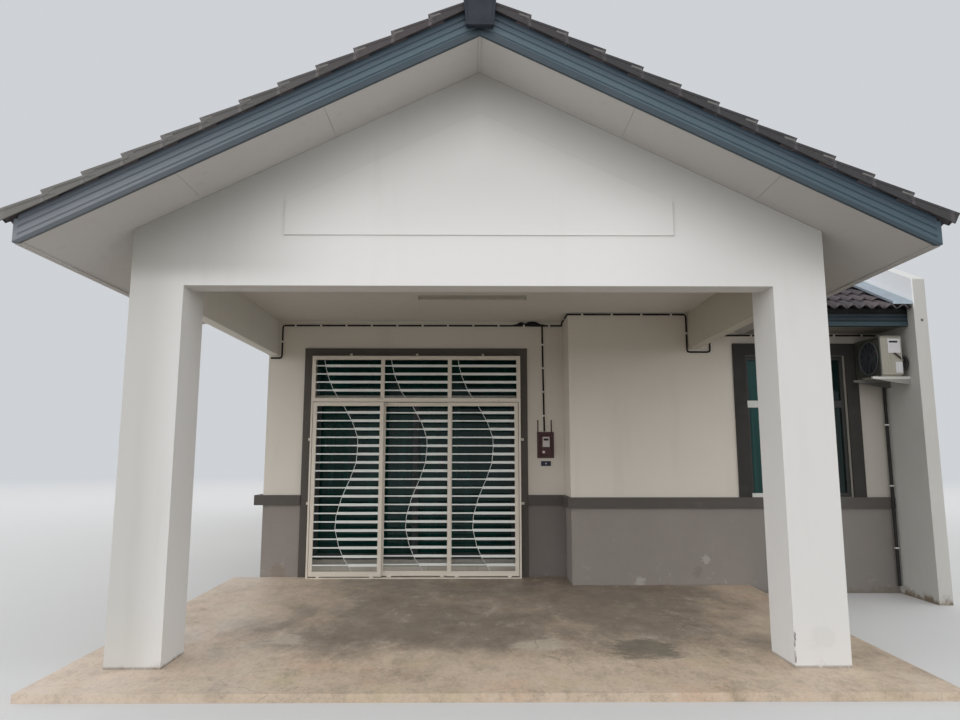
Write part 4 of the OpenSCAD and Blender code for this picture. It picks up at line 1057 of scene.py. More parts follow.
    # Valley sheets between the two roofs
    sheets = []
    for side in (1, -1):
        low = Vector((side * HALF_FASCIA, VALLEY_Y - HALF_FASCIA, PORCH_RIDGE - RISE * HALF_FASCIA - 0.072))
        high = Vector((0, VALLEY_Y, PORCH_RIDGE - 0.072))
        for flat in (Vector((side * 0.16, 0, -side * 0.16 * RISE * side)), Vector((0, -0.16, -0.16 * RISE))):
            run = high - low
            out = run.cross(flat).normalized()
            out = out if out.z > 0 else -out
            o = block("valley_sheet", (0, 0, -0.0015), (1, 1, 0.0015))
            turn = Matrix([run, flat, out]).transposed().to_4x4()
            o.data.transform(Matrix.Translation(low) @ turn)
            slice_at(face_out(o), (side * (HALF_FASCIA + 0.02), 0, 0), (side, 0, 0), True)
            slice_at(o, (0, MAIN_EAVE_Y - 0.02, 0), (0, -1, 0), True)
            sheets.append(close_holes(o))
    done(joined("valley_sheets", sheets), "house", metal, "flashing_metal")

    # Upturned edge of the flashing along the party wall
    edges = []
    length = MAIN_RIDGE_Y - MAIN_EAVE_Y
    z = MAIN_EAVE_TOP - RISE * EAVE_OVER + 0.026
    for y, far in ((MAIN_NOSE_Y, MAIN_NOSE_Y + length),
                   (BACK_NOSE_Y, BACK_NOSE_Y - length)):
        edge = block("flashing_edge", (PARTY_X - 0.0035, min(y, far), z),
                     (PARTY_X - 0.0005, max(y, far), z + 0.034))
        with shaping(edge):
            pick(edge, lambda v: abs(v.co.y - y) > 1.0, "VERT")
            bpy.ops.transform.translate(value=(0, 0, RISE * length))
        edges.append(edge)
    done(joined("flashing_upstand", edges), "house", bright_edge, "flashing_metal")


# Ribbed boards
def ribbed_board(name, end_a, end_b, out, heights, thick, groove=0.020, sink=0.008):
    """A board between two ends, each end a (foot, top) pair of points on its face.

    Channels with sloping sides run along it at the given heights above its foot."""
    (foot_a, top_a), (foot_b, top_b) = [[Vector(p) for p in end] for end in (end_a, end_b)]
    out = Vector(out).normalized()
    o = block(name, (0, 0, 0), (1, 1, 1))
    corner = {(0, 0): foot_a, (0, 1): top_a, (1, 0): foot_b, (1, 1): top_b}
    for v in o.data.vertices:
        v.co = corner[(round(v.co.x), round(v.co.z))] - out * thick * round(v.co.y)
    o.data.update()
    face_out(o)
    across = (foot_b - foot_a).cross(out).normalized()
    across = across if across.z > 0 else -across
    with shaping(o):
        for height in heights:
            line = foot_a + Vector((0, 0, height))
            for half in (-groove / 2, groove / 2):
                cut_all(line + across * half, across)
            pick(o, lambda f: f.normal.dot(out) > 0.9
                 and abs((f.calc_center_median() - line).dot(across)) < groove * 0.6)
            bpy.ops.mesh.inset(thickness=groove * 0.36, depth=-sink)
    return face_out(o)


def make_boards(finish, shaded, trim):
    apex_top = PORCH_RIDGE - DECK + 0.024
    apex_foot = GABLE_APEX
    low_z = BOARD_FOOT
    grooves = (0.062, 0.117, 0.166)
    end_x = HALF_FASCIA - 0.028
    foot_rise = (apex_foot - low_z) / HALF_SOFFIT
    parts = []
    for side in (-1, 1):
        foot = low_z + foot_rise * (HALF_SOFFIT - end_x)
        board = ribbed_board("barge_board", ((side * end_x, BARGE_Y, foot),
                                             (side * end_x, BARGE_Y, apex_top - RISE * end_x)),
                             ((0, BARGE_Y, apex_foot), (0, BARGE_Y, apex_top)), (0, -1, 0), grooves, 0.025)
        slice_at(board, (0, 0, low_z - 0.002), (0, 0, -1), True)
        parts.append(close_holes(board))
    done(joined("porch_barge_boards", parts), "house", finish, "fascia_paint", "porch_fascia")
    parts = []
    side_top = PORCH_RIDGE - 0.075 - RISE * HALF_FASCIA
    for side in (-1, 1):
        x = side * HALF_FASCIA
        parts.append(ribbed_board("side_fascia", ((x, BARGE_Y, low_z), (x, BARGE_Y, side_top)),
                                  ((x, MAIN_EAVE_Y + 0.05, low_z), (x, MAIN_EAVE_Y + 0.05, side_top)),
                                  (side, 0, 0), (0.055, 0.105), 0.028))
    done(joined("porch_side_fascias", parts), "house", finish, "fascia_paint")
    strips = []
    for side in (-1, 1):
        near, far = sorted((side * (HALF_SOFFIT - 0.012), side * (HALF_FASCIA - 0.003)))
        strips.append(block("soffit_edge_strip", (near, BARGE_Y + 0.026, low_z - 0.006),
                            (far, MAIN_EAVE_Y + 0.05, low_z)))
        mid = side * (HALF_SOFFIT + 0.014)
        strips.append(block("soffit_edge_bead", (mid - 0.005, BARGE_Y + 0.026, low_z - 0.009),
                            (mid + 0.005, MAIN_EAVE_Y + 0.05, low_z - 0.005)))
    done(soften(joined("soffit_edge_strips", strips), 0.0015, 1), "house", trim, "ceiling_board")
    top = MAIN_EAVE_TOP - DECK
    lines = (0.055, 0.105, 0.155)
    for name, x, y, way, paint, nodes in (("front", HALF_FASCIA, MAIN_EAVE_Y, -1, shaded, ["main_fascia"]),
                                          ("back", -HALF_FASCIA, BACK_EAVE_Y, 1, finish, [])):
        board = ribbed_board(f"main_fascia_{name}", ((x, y, low_z), (x, y, top)),
                             ((PARTY_X, y, low_z), (PARTY_X, y, top)), (0, way, 0), lines, 0.05)
        done(board, "house", paint, "fascia_paint", *nodes)
    parts = []
    ridge_top = MAIN_RIDGE - DECK
    ridge_foot = low_z + RISE * (MAIN_RIDGE_Y - MAIN_EAVE_Y - 0.05)
    for y in (MAIN_EAVE_Y + 0.05, BACK_EAVE_Y - 0.05):
        parts.append(ribbed_board("left_barge", ((-HALF_FASCIA, y, low_z),
                                                 (-HALF_FASCIA, y, top + RISE * 0.05)),
                                  ((-HALF_FASCIA, MAIN_RIDGE_Y, ridge_foot),
                                   (-HALF_FASCIA, MAIN_RIDGE_Y, ridge_top)), (-1, 0, 0), grooves, 0.025))
    done(joined("left_barge_boards_ribbed", parts), "house", finish, "fascia_paint", "left_barge_boards")


def make_soffit(finish):
    """Soffit boards with open joints where the sheets meet."""
    o = cad_copy("porch_soffit_boards", "porch_soffit")
    joints = [-2.13, -1.11, -0.0135, 0.0135, 1.11, 2.13]
    with shaping(o):
        for x in joints:
            for half in (-0.0015, 0.0015):
                cut_all((x + half, 0, 0), (1, 0, 0))
            pick(o, lambda f: f.normal.z < -0.5 and abs(f.calc_center_median().x - x) < 0.0014)
            bpy.ops.mesh.extrude_region_move(TRANSFORM_OT_translate={"value": (0, 0, 0.006)})
    done(o, "house", finish, "ceiling_board", "porch_soffit")


# Grille
ROD_LINE = [(0.125, 2.739), (0.137, 2.66), (0.172, 2.531), (0.245, 2.353), (0.291, 2.285), (0.382, 2.153),
            (0.494, 1.953), (0.556, 1.770), (0.560, 1.660), (0.543, 1.466), (0.475, 1.273), (0.379, 1.050),
            (0.318, 0.832), (0.308, 0.680), (0.359, 0.473), (0.424, 0.327), (0.490, 0.235), (0.520, 0.182)]


def rod_at(z):
    """How far the bent rod stands from the left edge of its leaf at that height."""
    for (x0, z0), (x1, z1) in zip(ROD_LINE, ROD_LINE[1:]):
        if z1 <= z <= z0:
            return x0 + (x1 - x0) * (z0 - z) / (z0 - z1)
    return ROD_LINE[0][0] if z > ROD_LINE[0][1] else ROD_LINE[-1][0]


def grille_bars(name, heights, left, right, rod_left, y, rod_low, rod_high):
    """Slim bars left of the bent rod and broad bars right of it, with the rod in front."""
    parts = []
    for z in heights:
        x = rod_left + rod_at(z)
        if x - left > 0.01:
            parts.append(block("slim_bar", (left, y + 0.006, z - 0.008), (x, y + 0.016, z + 0.008)))
        parts.append(block("broad_bar", (x, y + 0.005, z - 0.016), (right, y + 0.017, z + 0.016)))
    o = soften(joined(name, parts), 0.0015, 1)
    points = [(rod_left + rod_at(z), y + 0.005, z)
              for z in [rod_low + (rod_high - rod_low) * k / 40 for k in range(41)]]
    rod = tube(name + "_rod", points, 0.0032, 8)
    return joined(name, [o, rod])


def make_grille(finish):
    """The bars and bent rods of the three leaves and of the fixed panels over them."""
    heights = [0.254 + 0.1016 * k for k in range(19)]
    for name, node in (("left", "grille_leaf_left"), ("middle", "grille_leaf_middle"),
                       ("right", "grille_leaf_right")):
        low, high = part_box(node)
        o = grille_bars(f"grille_bars_{name}", heights, low.x + 0.044, high.x - 0.044, low.x, low.y,
                        0.18, 2.165)
        done(o, f"grille_{name}", finish, "grille_paint")
    low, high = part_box("grille_frame")
    front = low.y
    leaf = [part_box(f"grille_leaf_{n}")[0].x for n in ("left", "middle", "right")]
    leaf[1] -= 0.014
    panels = ((-2.005, -1.194), (-1.150, -0.365), (-0.321, 0.490))
    parts = []
    for (left, right), edge in zip(panels, leaf):
        parts.append(grille_bars("grille_top_panel", [2.357, 2.459, 2.561, 2.663], left, right, edge, front,
                                 2.26, 2.74))
    done(joined("grille_top_bars", parts), "house", finish, "grille_paint")


# Sliding glass door
def bars(name, boxes, soft=0.002):
    return soften(joined(name, [block(name, low, high) for low, high in boxes]), soft, 2)


def outline_bars(x0, x1, y0, y1, z0, z1, left, right, foot, head):
    """Corner pairs of a frame's two stiles and two rails."""
    return [((x0, y0, z0), (x0 + left, y1, z1)), ((x1 - right, y0, z0), (x1, y1, z1)),
            ((x0 + left, y0, z0), (x1 - right, y1, z0 + foot)),
            ((x0 + left, y0, z1 - head), (x1 - right, y1, z1))]


def make_glass_door(metal, leaf_metal, glass, dark):
    for side in ("left", "right"):
        node = f"sliding_door_{side}"
        low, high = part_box(node)
        z0 = low.z + 0.0057
        parts = outline_bars(low.x, high.x, low.y, high.y, z0, high.z, 0.06, 0.06, 0.06, 0.06)
        bead = 0.009
        parts += outline_bars(low.x + 0.06, high.x - 0.06, low.y + 0.005, high.y - 0.005, z0 + 0.06,
                              high.z - 0.06, bead, bead, bead, bead)
        for x in (low.x + 0.06, high.x - 0.12):
            parts.append(((x, low.y + 0.006, low.z), (x + 0.06, high.y - 0.006, z0 + 0.001)))
        done(bars(f"glass_door_frame_{side}", parts), f"glass_leaf_{side}", leaf_metal, "door_aluminium",
             node)
        mid = (low.y + high.y) / 2
        pane = bars(f"glass_door_pane_{side}", [((low.x + 0.062, mid - 0.003, z0 + 0.062),
                                                 (high.x - 0.062, mid + 0.003, high.z - 0.062))], 0.001)
        done(pane, f"glass_leaf_{side}", glass, "window_glass")
        grip_x = high.x - 0.035 if side == "left" else low.x + 0.035
        face = low.y - 0.0005
        grip = bars(f"glass_door_pull_{side}", [
            ((grip_x - 0.012, face - 0.0035, 1.12), (grip_x + 0.012, face + 0.002, 1.34)),
            ((grip_x - 0.005, face - 0.005, 1.16), (grip_x + 0.005, face + 0.002, 1.30))], 0.001)
        done(grip, f"glass_leaf_{side}", dark, "door_aluminium")
    low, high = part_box("sliding_door_frame")
    pane_y = (low.y + high.y) / 2
    parts = outline_bars(low.x, high.x, low.y, high.y, low.z, high.z, 0.04, 0.04, 0.08, 0.04)
    parts.append(((low.x + 0.04, low.y, 2.261), (high.x - 0.04, high.y, 2.311)))
    for x in (-1.20, -0.34):
        parts.append(((x - 0.018, pane_y - 0.02, 2.311), (x + 0.018, pane_y + 0.02, high.z - 0.04)))
    for y in (3.507, 3.538):
        parts.append(((low.x + 0.04, y - 0.003, 0.29), (high.x - 0.04, y + 0.003, 0.2955)))
    done(bars("glass_door_outer_frame", parts), "house", metal, "door_aluminium", "sliding_door_frame")
    pane = bars("glass_door_top_pane", [((low.x + 0.042, pane_y - 0.003, 2.313),
                                         (high.x - 0.042, pane_y + 0.003, high.z - 0.042))], 0.001)
    done(pane, "house", glass, "window_glass")


# Fittings
def make_cooler(case_paint, plate_paint, badge_paint, fan_finish, guard_paint, dark, wrap, metal):
    """The outdoor unit of the air conditioner: case, fan behind its guard, handle, valve cover, pipe."""
    x0, y0, z0, x1, y1, z1 = 4.483, 2.320, 2.427, 4.738, 2.820, 2.883
    case = block("cooler_case", (x0 + 0.006, y0, z0 + 0.018), (x1, y1, z1 - 0.004))
    recess(case, "x", 0.022, 0.010)
    recess(case, "y", 0.014, 0.003)
    soften(case, 0.006, 3, 40)
    lid = block("cooler_lid", (x0, y0, z1 - 0.030), (x1, y1, z1))
    soften(lid, 0.010, 3, 40)
    feet = [block("cooler_foot", (x0 + 0.02, y, z0), (x1 - 0.01, y + 0.05, z0 + 0.02))
            for y in (2.345, 2.735)]
    case = joined("cooler_case", [case, lid] + feet)
    done(case, "house", case_paint, "cooler_case", "air_conditioner")
    cy, cz = 2.545, 2.655
    well = disc("cooler_well", (x0 + 0.016, cy, cz), 0.183, 0.012)
    recess(well, "x", 0.012, 0.004)
    hub = disc("cooler_hub", (x0 + 0.010, cy, cz), 0.045, 0.012, sides=24)
    soften(hub, 0.003, 2)
    blades = []
    for k in range(4):
        blade = block("fan_blade", (x0 + 0.009, 0.03, -0.028), (x0 + 0.012, 0.158, 0.028))
        with shaping(blade):
            pick(blade, lambda v: v.co.y > 0.1, "VERT")
            bpy.ops.transform.translate(value=(0, 0, 0.035))
            bpy.ops.transform.resize(value=(1, 1, 1.7))
        blade.data.transform(Matrix.Rotation(math.radians(90 * k + 20), 4, "X"))
        blade.data.transform(Matrix.Translation((0, cy, cz)))
        blades.append(blade)
    done(joined("cooler_fan", [well, hub] + blades), "house", fan_finish, "cooler_case")
    guard = []
    for r in (0.035, 0.058, 0.081, 0.104, 0.127, 0.150, 0.173, 0.188):
        ring = [(x0 + 0.0035, cy + r * math.cos(a), cz + r * math.sin(a))
                for a in [2 * math.pi * k / 36 for k in range(36)]]
        guard.append(tube("guard_ring", ring, 0.0012 if r < 0.18 else 0.004, 6, closed=True))
    for k in range(12):
        a = math.pi * k / 6
        guard.append(tube("guard_spoke", [(x0 + 0.0035, cy + 0.035 * math.cos(a), cz + 0.035 * math.sin(a)),
                                          (x0 + 0.0035, cy + 0.188 * math.cos(a), cz + 0.188 * math.sin(a))],
                          0.0012, 6))
    done(joined("cooler_fan_guard", guard), "house", guard_paint, "cooler_case")
    # The panel towards the street: a pale plate with a sunk handle, upright ribs, a valve cover
    plate = block("cooler_plate", (x0 + 0.102, y0 - 0.002, z0 + 0.262), (x1 - 0.012, y0 + 0.012, z1 - 0.034))
    recess(plate, "y", 0.006, 0.0015)
    done(soften(plate, 0.001, 1, 40), "house", plate_paint, "cooler_case")
    handle = block("cooler_handle", (x0 + 0.119, y0 - 0.003, z1 - 0.078),
                   (x0 + 0.215, y0 + 0.010, z1 - 0.056))
    done(soften(handle, 0.002, 1), "house", dark, "cooler_case")
    ribs = [block("case_rib", (x0 + 0.030 + 0.032 * k, y0 + 0.0005, z0 + 0.05),
                  (x0 + 0.040 + 0.032 * k, y0 + 0.006, z0 + 0.235)) for k in range(4)]
    done(soften(joined("cooler_ribs", ribs), 0.001, 1), "house", case_paint, "cooler_case")
    badge = block("cooler_rating_plate", (x0 + 0.0045, y0 + 0.045, z0 + 0.250),
                  (x0 + 0.010, y0 + 0.085, z0 + 0.310))
    done(soften(badge, 0.001, 1), "house", badge_paint, "cooler_case")
    cover = block("cooler_valve_cover", (x1 - 0.080, y0 - 0.002, z0 + 0.040),
                  (x1 - 0.002, y0 + 0.020, z0 + 0.160))
    recess(cover, "y", 0.012, -0.001)
    done(soften(cover, 0.003, 2, 40), "house", plate_paint, "cooler_case")
    loop = [(x1 - 0.004, 2.345, 2.640), (x1 + 0.030, 2.342, 2.655), (x1 + 0.062, 2.345, 2.620),
            (x1 + 0.066, 2.350, 2.560), (x1 + 0.045, 2.355, 2.505), (x1 + 0.006, 2.356, 2.500)]
    inner = [(x1 - 0.004, 2.368, 2.600), (x1 + 0.025, 2.368, 2.610), (x1 + 0.036, 2.370, 2.560),
             (x1 + 0.010, 2.372, 2.530)]
    lines = [tube("cooler_thin_pipe", [(x1 - 0.095 + shift, y0 - 0.006, z0 + 0.262),
                                       (x1 - 0.045 + shift, y0 - 0.008, z0 + 0.215),
                                       (x1 + 0.002, y0 + 0.010, z0 + 0.185 - shift)], 0.004, 8)
             for shift in (0.0, 0.016)]
    loops = [tube("pipe_loop", loop, 0.019, 12, smooth=True),
             tube("pipe_loop", inner, 0.016, 12, smooth=True)]
    done(joined("cooler_pipe_loop", loops + lines), "house", wrap, "cable_sheath")
    pipe = [(x1 - 0.02, 2.410, 2.557), (4.765, 2.410, 2.557), (4.786, 2.416, 2.557), (4.792, 2.440, 2.557),
            (4.792, 2.600, 2.556), (4.792, 2.760, 2.557), (4.792, 2.796, 2.550), (4.792, 2.8047, 2.520),
            (4.792, 2.8047, 2.40), (4.792, 2.8047, 1.6), (4.792, 2.8047, 0.8), (4.792, 2.8047, 0.09)]
    done(tube("cooler_pipe", pipe, 0.018, 12, smooth=True), "house", wrap, "cable_sheath")
    ties = [block("pipe_clip", (4.770, 2.7855, z), (4.814, 2.8247, z + 0.018)) for z in (0.5, 1.2, 1.9)]
    done(soften(joined("cooler_pipe_clips", ties), 0.004, 2), "house", metal, "bracket_paint")


def make_meter(board_finish, face_finish, dark, plate_finish):
    low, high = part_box("meter_board")
    wall = DOOR_WALL_Y
    board = block("meter_backboard", (low.x, wall - 0.020, low.z), (high.x, wall, high.z))
    recess(board, "y", 0.012, -0.002)
    soften(board, 0.003, 2, 40)
    prongs = [tube("conduit", [(x, wall - 0.008, high.z - 0.02), (x, wall - 0.008, 1.997)], 0.0075, 8)
              for x in (0.758, 0.925)]
    done(joined("meter_backboard", [board] + prongs), "house", board_finish, "meter_paint", "meter_board")
    x0, x1, z0, z1 = low.x + 0.034, high.x - 0.034, low.z + 0.034, high.z - 0.034
    body = block("meter_case", (x0, low.y + 0.012, z0), (x1, wall - 0.020, z1))
    soften(body, 0.012, 3, 40)
    rim = block("meter_rim", (x0 + 0.012, low.y, z0 + 0.085), (x1 - 0.012, low.y + 0.016, z1 - 0.012))
    recess(rim, "y", 0.012, 0.008)
    soften(rim, 0.003, 2, 40)
    done(joined("meter_case", [body, rim]), "house", board_finish, "meter_paint")
    face = block("meter_face", (x0 + 0.026, low.y + 0.007, z0 + 0.100),
                 (x1 - 0.026, low.y + 0.014, z1 - 0.026))
    drum = block("meter_window", (x0 + 0.040, low.y + 0.005, z1 - 0.075),
                 (x1 - 0.040, low.y + 0.010, z1 - 0.048))
    done(soften(face, 0.002, 1), "house", face_finish, "meter_paint")
    done(soften(drum, 0.0015, 1), "house", dark, "meter_paint")
    seal = disc("meter_seal", (x0 + 0.040, low.y + 0.014, z0 + 0.038), 0.017, 0.014, "Y", 20)
    done(soften(seal, 0.003, 2), "house", face_finish, "meter_paint")
    plate = block("house_plate", (0.793, wall - 0.006, 1.428), (0.916, wall, 1.489))
    recess(plate, "y", 0.005, 0.001)
    done(soften(plate, 0.001, 1, 40), "house", plate_finish, "meter_paint")
    cap = disc("plate_screw_cap", (0.8545, wall - 0.0055, 1.4585), 0.009, 0.004, "Y", 16)
    done(soften(cap, 0.001, 1), "house", face_finish, "meter_paint")


CABLE = [(-2.604, 3.399, 2.777), (-2.467, 3.399, 2.777), (-2.467, 3.399, 3.195), (1.077, 3.399, 3.195),
         (1.077, 3.399, 3.231), (1.077, 2.857, 3.231), (2.499, 2.857, 3.231), (2.499, 2.857, 2.777),
         (2.774, 2.857, 2.777), (2.774, 2.857, 2.978), (4.765, 2.857, 2.978)]
CABLE_R = 0.0105


def rounded_line(points, radius=0.02):
    """The points with each corner eased into a short curve."""
    out = [Vector(points[0])]
    for a, b, c in zip(points, points[1:], points[2:]):
        a, b, c = Vector(a), Vector(b), Vector(c)
        ease = min(radius, (a - b).length * 0.45, (c - b).length * 0.45)
        p, q = b + (a - b).normalized() * ease, b + (c - b).normalized() * ease
        out += [p, p.lerp(b, 0.5).lerp(b.lerp(q, 0.5), 0.5), q]
    out.append(Vector(points[-1]))
    return out


def make_cable(sheath, clip):
    parts = [tube("cable_run", rounded_line(CABLE, 0.03), CABLE_R, 8)]
    parts.append(tube("cable_drop", rounded_line([(0.826, 3.399, 3.195), (0.830, 3.399, 2.6),
                                                  (0.838, 3.399, 1.9), (0.838, 3.399, 1.854)]), CABLE_R, 8))
    for x0, x1, rise in ((0.46, 0.86, 0.020), (0.50, 0.62, 0.034), (0.58, 0.82, 0.042), (0.60, 0.76, 0.030)):
        spare = [(x0 + (x1 - x0) * k / 8, 3.396, 3.198 + rise * math.sin(math.pi * k / 8)) for k in range(9)]
        parts.append(tube("spare_cable", spare, CABLE_R, 8))
    tape = [(0.62, 3.390, 3.212), (0.68, 3.389, 3.220), (0.74, 3.390, 3.212)]
    parts.append(tube("cable_tape", tape, 0.016, 10))
    done(joined("surface_cable_round", parts), "house", sheath, "cable_sheath", "surface_cable")
    clips = []
    for (a, b) in zip(CABLE, CABLE[1:]):
        a, b = Vector(a), Vector(b)
        count = int((b - a).length / 0.30)
        for k in range(count):
            p = a.lerp(b, (k + 0.5) / count)
            half = Vector((0.013, 0.013, 0.013))
            line = b - a
            axis = max(range(3), key=lambda i: abs(line[i]))
            half[axis] = 0.011
            o = block("cable_clip", p - half, p + half)
            clips.append(o)
    for k in range(4):
        z = 2.95 - 0.3 * k
        clips.append(block("cable_clip", (0.8160, 3.386, z - 0.010), (0.8440, DOOR_WALL_Y, z + 0.010)))
    done(soften(joined("cable_clips", clips), 0.002, 1), "house", clip, "cable_sheath")


def make_lamp(body_finish, glow_finish):
    low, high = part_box("porch_lamp")
    tray = block("lamp_tray", (low.x, low.y + 0.008, high.z - 0.022), (high.x, high.y - 0.008, high.z))
    with shaping(tray):
        pick(tray, lambda v: v.co.z < high.z - 0.01, "VERT")
        bpy.ops.transform.resize(value=(0.998, 0.7, 1))
    ends = [block("lamp_holder", (x, low.y + 0.014, low.z + 0.002),
                  (x + 0.022, high.y - 0.014, high.z - 0.02)) for x in (low.x, high.x - 0.022)]
    body = soften(joined("lamp_body", [tray] + ends), 0.003, 2)
    done(body, "house", body_finish, "lamp_cover", "porch_lamp")
    mid = (low.y + high.y) / 2
    glow = disc("lamp_tube", ((low.x + high.x) / 2, mid, low.z + 0.0125), 0.0125,
                high.x - low.x - 0.03, "X", 16)
    done(soften(glow, 0.002, 1, 60), "house", glow_finish, "lamp_cover")


def make_back_door(paint, metal):
    low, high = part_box("back_door")
    leaf = block("back_door_leaf", low, high)
    w, h = high.x - low.x, high.z - low.z
    fields = [(low.x + a * w, low.x + b * w, low.z + c * h, low.z + d * h)
              for a, b in ((0.12, 0.46), (0.54, 0.88)) for c, d in ((0.07, 0.38), (0.44, 0.74), (0.79, 0.94))]
    with shaping(leaf):
        for x0, x1, z0, z1 in fields:
            for point, normal in (((x0, 0, 0), (1, 0, 0)), ((x1, 0, 0), (1, 0, 0)), ((0, 0, z0), (0, 0, 1)),
                                  ((0, 0, z1), (0, 0, 1))):
                cut_all(point, normal)
        for x0, x1, z0, z1 in fields:
            for way in (1, -1):
                pick(leaf, lambda f: f.normal.y * way > 0.9 and x0 < f.calc_center_median().x < x1
                     and z0 < f.calc_center_median().z < z1)
                bpy.ops.mesh.inset(thickness=0.012, use_boundary=True)
                bpy.ops.mesh.inset(thickness=0.012, depth=-0.008, use_boundary=True)
                bpy.ops.mesh.inset(thickness=0.020, depth=0.005, use_boundary=True)
    done(soften(leaf, 0.002, 1, 50), "house", paint, "back_door_paint", "back_door")
    x = low.x + 0.075
    parts = []
    for face, way in ((high.y, 1), (low.y, -1)):
        y = face + way * 0.006
        plate = block("handle_plate", (x - 0.022, min(face, y), low.z + 0.90),
                      (x + 0.022, max(face, y), low.z + 1.12))
        line = [(x, face, low.z + 1.04), (x, face + way * 0.045, low.z + 1.04),
                (x + 0.12, face + way * 0.045, low.z + 1.035)]
        lever = tube("handle_lever", rounded_line(line, 0.012), 0.008, 10)
        parts += [soften(plate, 0.002, 2), lever]
    for z in (0.25, 1.05, 1.85):
        parts.append(disc("hinge", (high.x - 0.001, high.y + 0.004, low.z + z), 0.006, 0.09, "Z", 12))
    done(joined("back_door_handle", parts), "house", metal, "back_door_paint")


def make_right_column(finish):
    """The right column, with its front inner corner chipped near the ground."""
    low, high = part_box("porch_column_right")
    o = block("porch_column_right_chipped", low, high)
    levels = [0.06 + 0.0125 * k for k in range(24)]
    with shaping(o):
        for z in levels:
            cut_all((0, 0, z), (0, 0, 1))
        for shift in (0.012, 0.024):
            for point, normal in (((low.x + shift, 0, 0), (1, 0, 0)), ((0, low.y + shift, 0), (0, 1, 0))):
                cut_all(point, normal)
        shape = bmesh.from_edit_mesh(o.data)
        for v in shape.verts:
            near_x, near_y = v.co.x - low.x, v.co.y - low.y
            if 0.075 < v.co.z < 0.33 and near_x < 0.02 and near_y < 0.02:
                bite = math.sin(math.pi * (v.co.z - 0.075) / 0.255) ** 0.6
                if near_x < 0.001 and near_y < 0.001:
                    cut = bite * chance.uniform(0.007, 0.015)
                    v.co.x += cut
                    v.co.y += cut * chance.uniform(0.6, 1.0)
                elif near_x < 0.001:
                    v.co.x += bite * chance.uniform(0.0, 0.003)
                elif near_y < 0.001:
                    v.co.y += bite * chance.uniform(0.0, 0.003)
        bmesh.update_edit_mesh(o.data)
    done(o, "house", finish, "wall_paint", "porch_column_right")


# Putting it together
def dress(finish, *nodes):
    for node in nodes:
        slots = NODES[node].data.materials
        slots.clear()
        slots.append(finish)


def make_stage():
    """A plain pale floor. Away from the house it fades into the pale background."""
    bpy.ops.object.select_all(action="DESELECT")
    bpy.ops.mesh.primitive_plane_add(size=600, location=(0, 0, -0.0005))
    floor = bpy.context.object
    floor.name = "pale_floor"
    settle(floor)
    f = Finish("pale_floor", rough=0.9, gloss=0.1)
    ray = f.make("ShaderNodeLightPath")
    seen = f.calc("MAXIMUM", ray.outputs["Is Camera Ray"],
                  f.calc("MAXIMUM", ray.outputs["Is Glossy Ray"], ray.outputs["Is Transmission Ray"]))
    f.colour(f.mix(seen, (0.40, 0.385, 0.36, 1.0), (0.72, 0.72, 0.72, 1.0)))
    far = f.make("ShaderNodeVectorMath", operation="LENGTH")
    f.put(far.inputs[0], f.place)
    glow = f.make("ShaderNodeEmission")
    glow.inputs["Color"].default_value = PALE_SKY
    blend = f.make("ShaderNodeMixShader")
    f.put(blend.inputs[0], times(f, f.between(far.outputs["Value"], 18.0, 60.0), seen))
    f.put(blend.inputs[1], f.skin.outputs[0])
    f.put(blend.inputs[2], glow.outputs[0])
    f.put(f.tree.nodes["Material Output"].inputs["Surface"], blend.outputs[0])
    floor.data.materials.append(f.material)


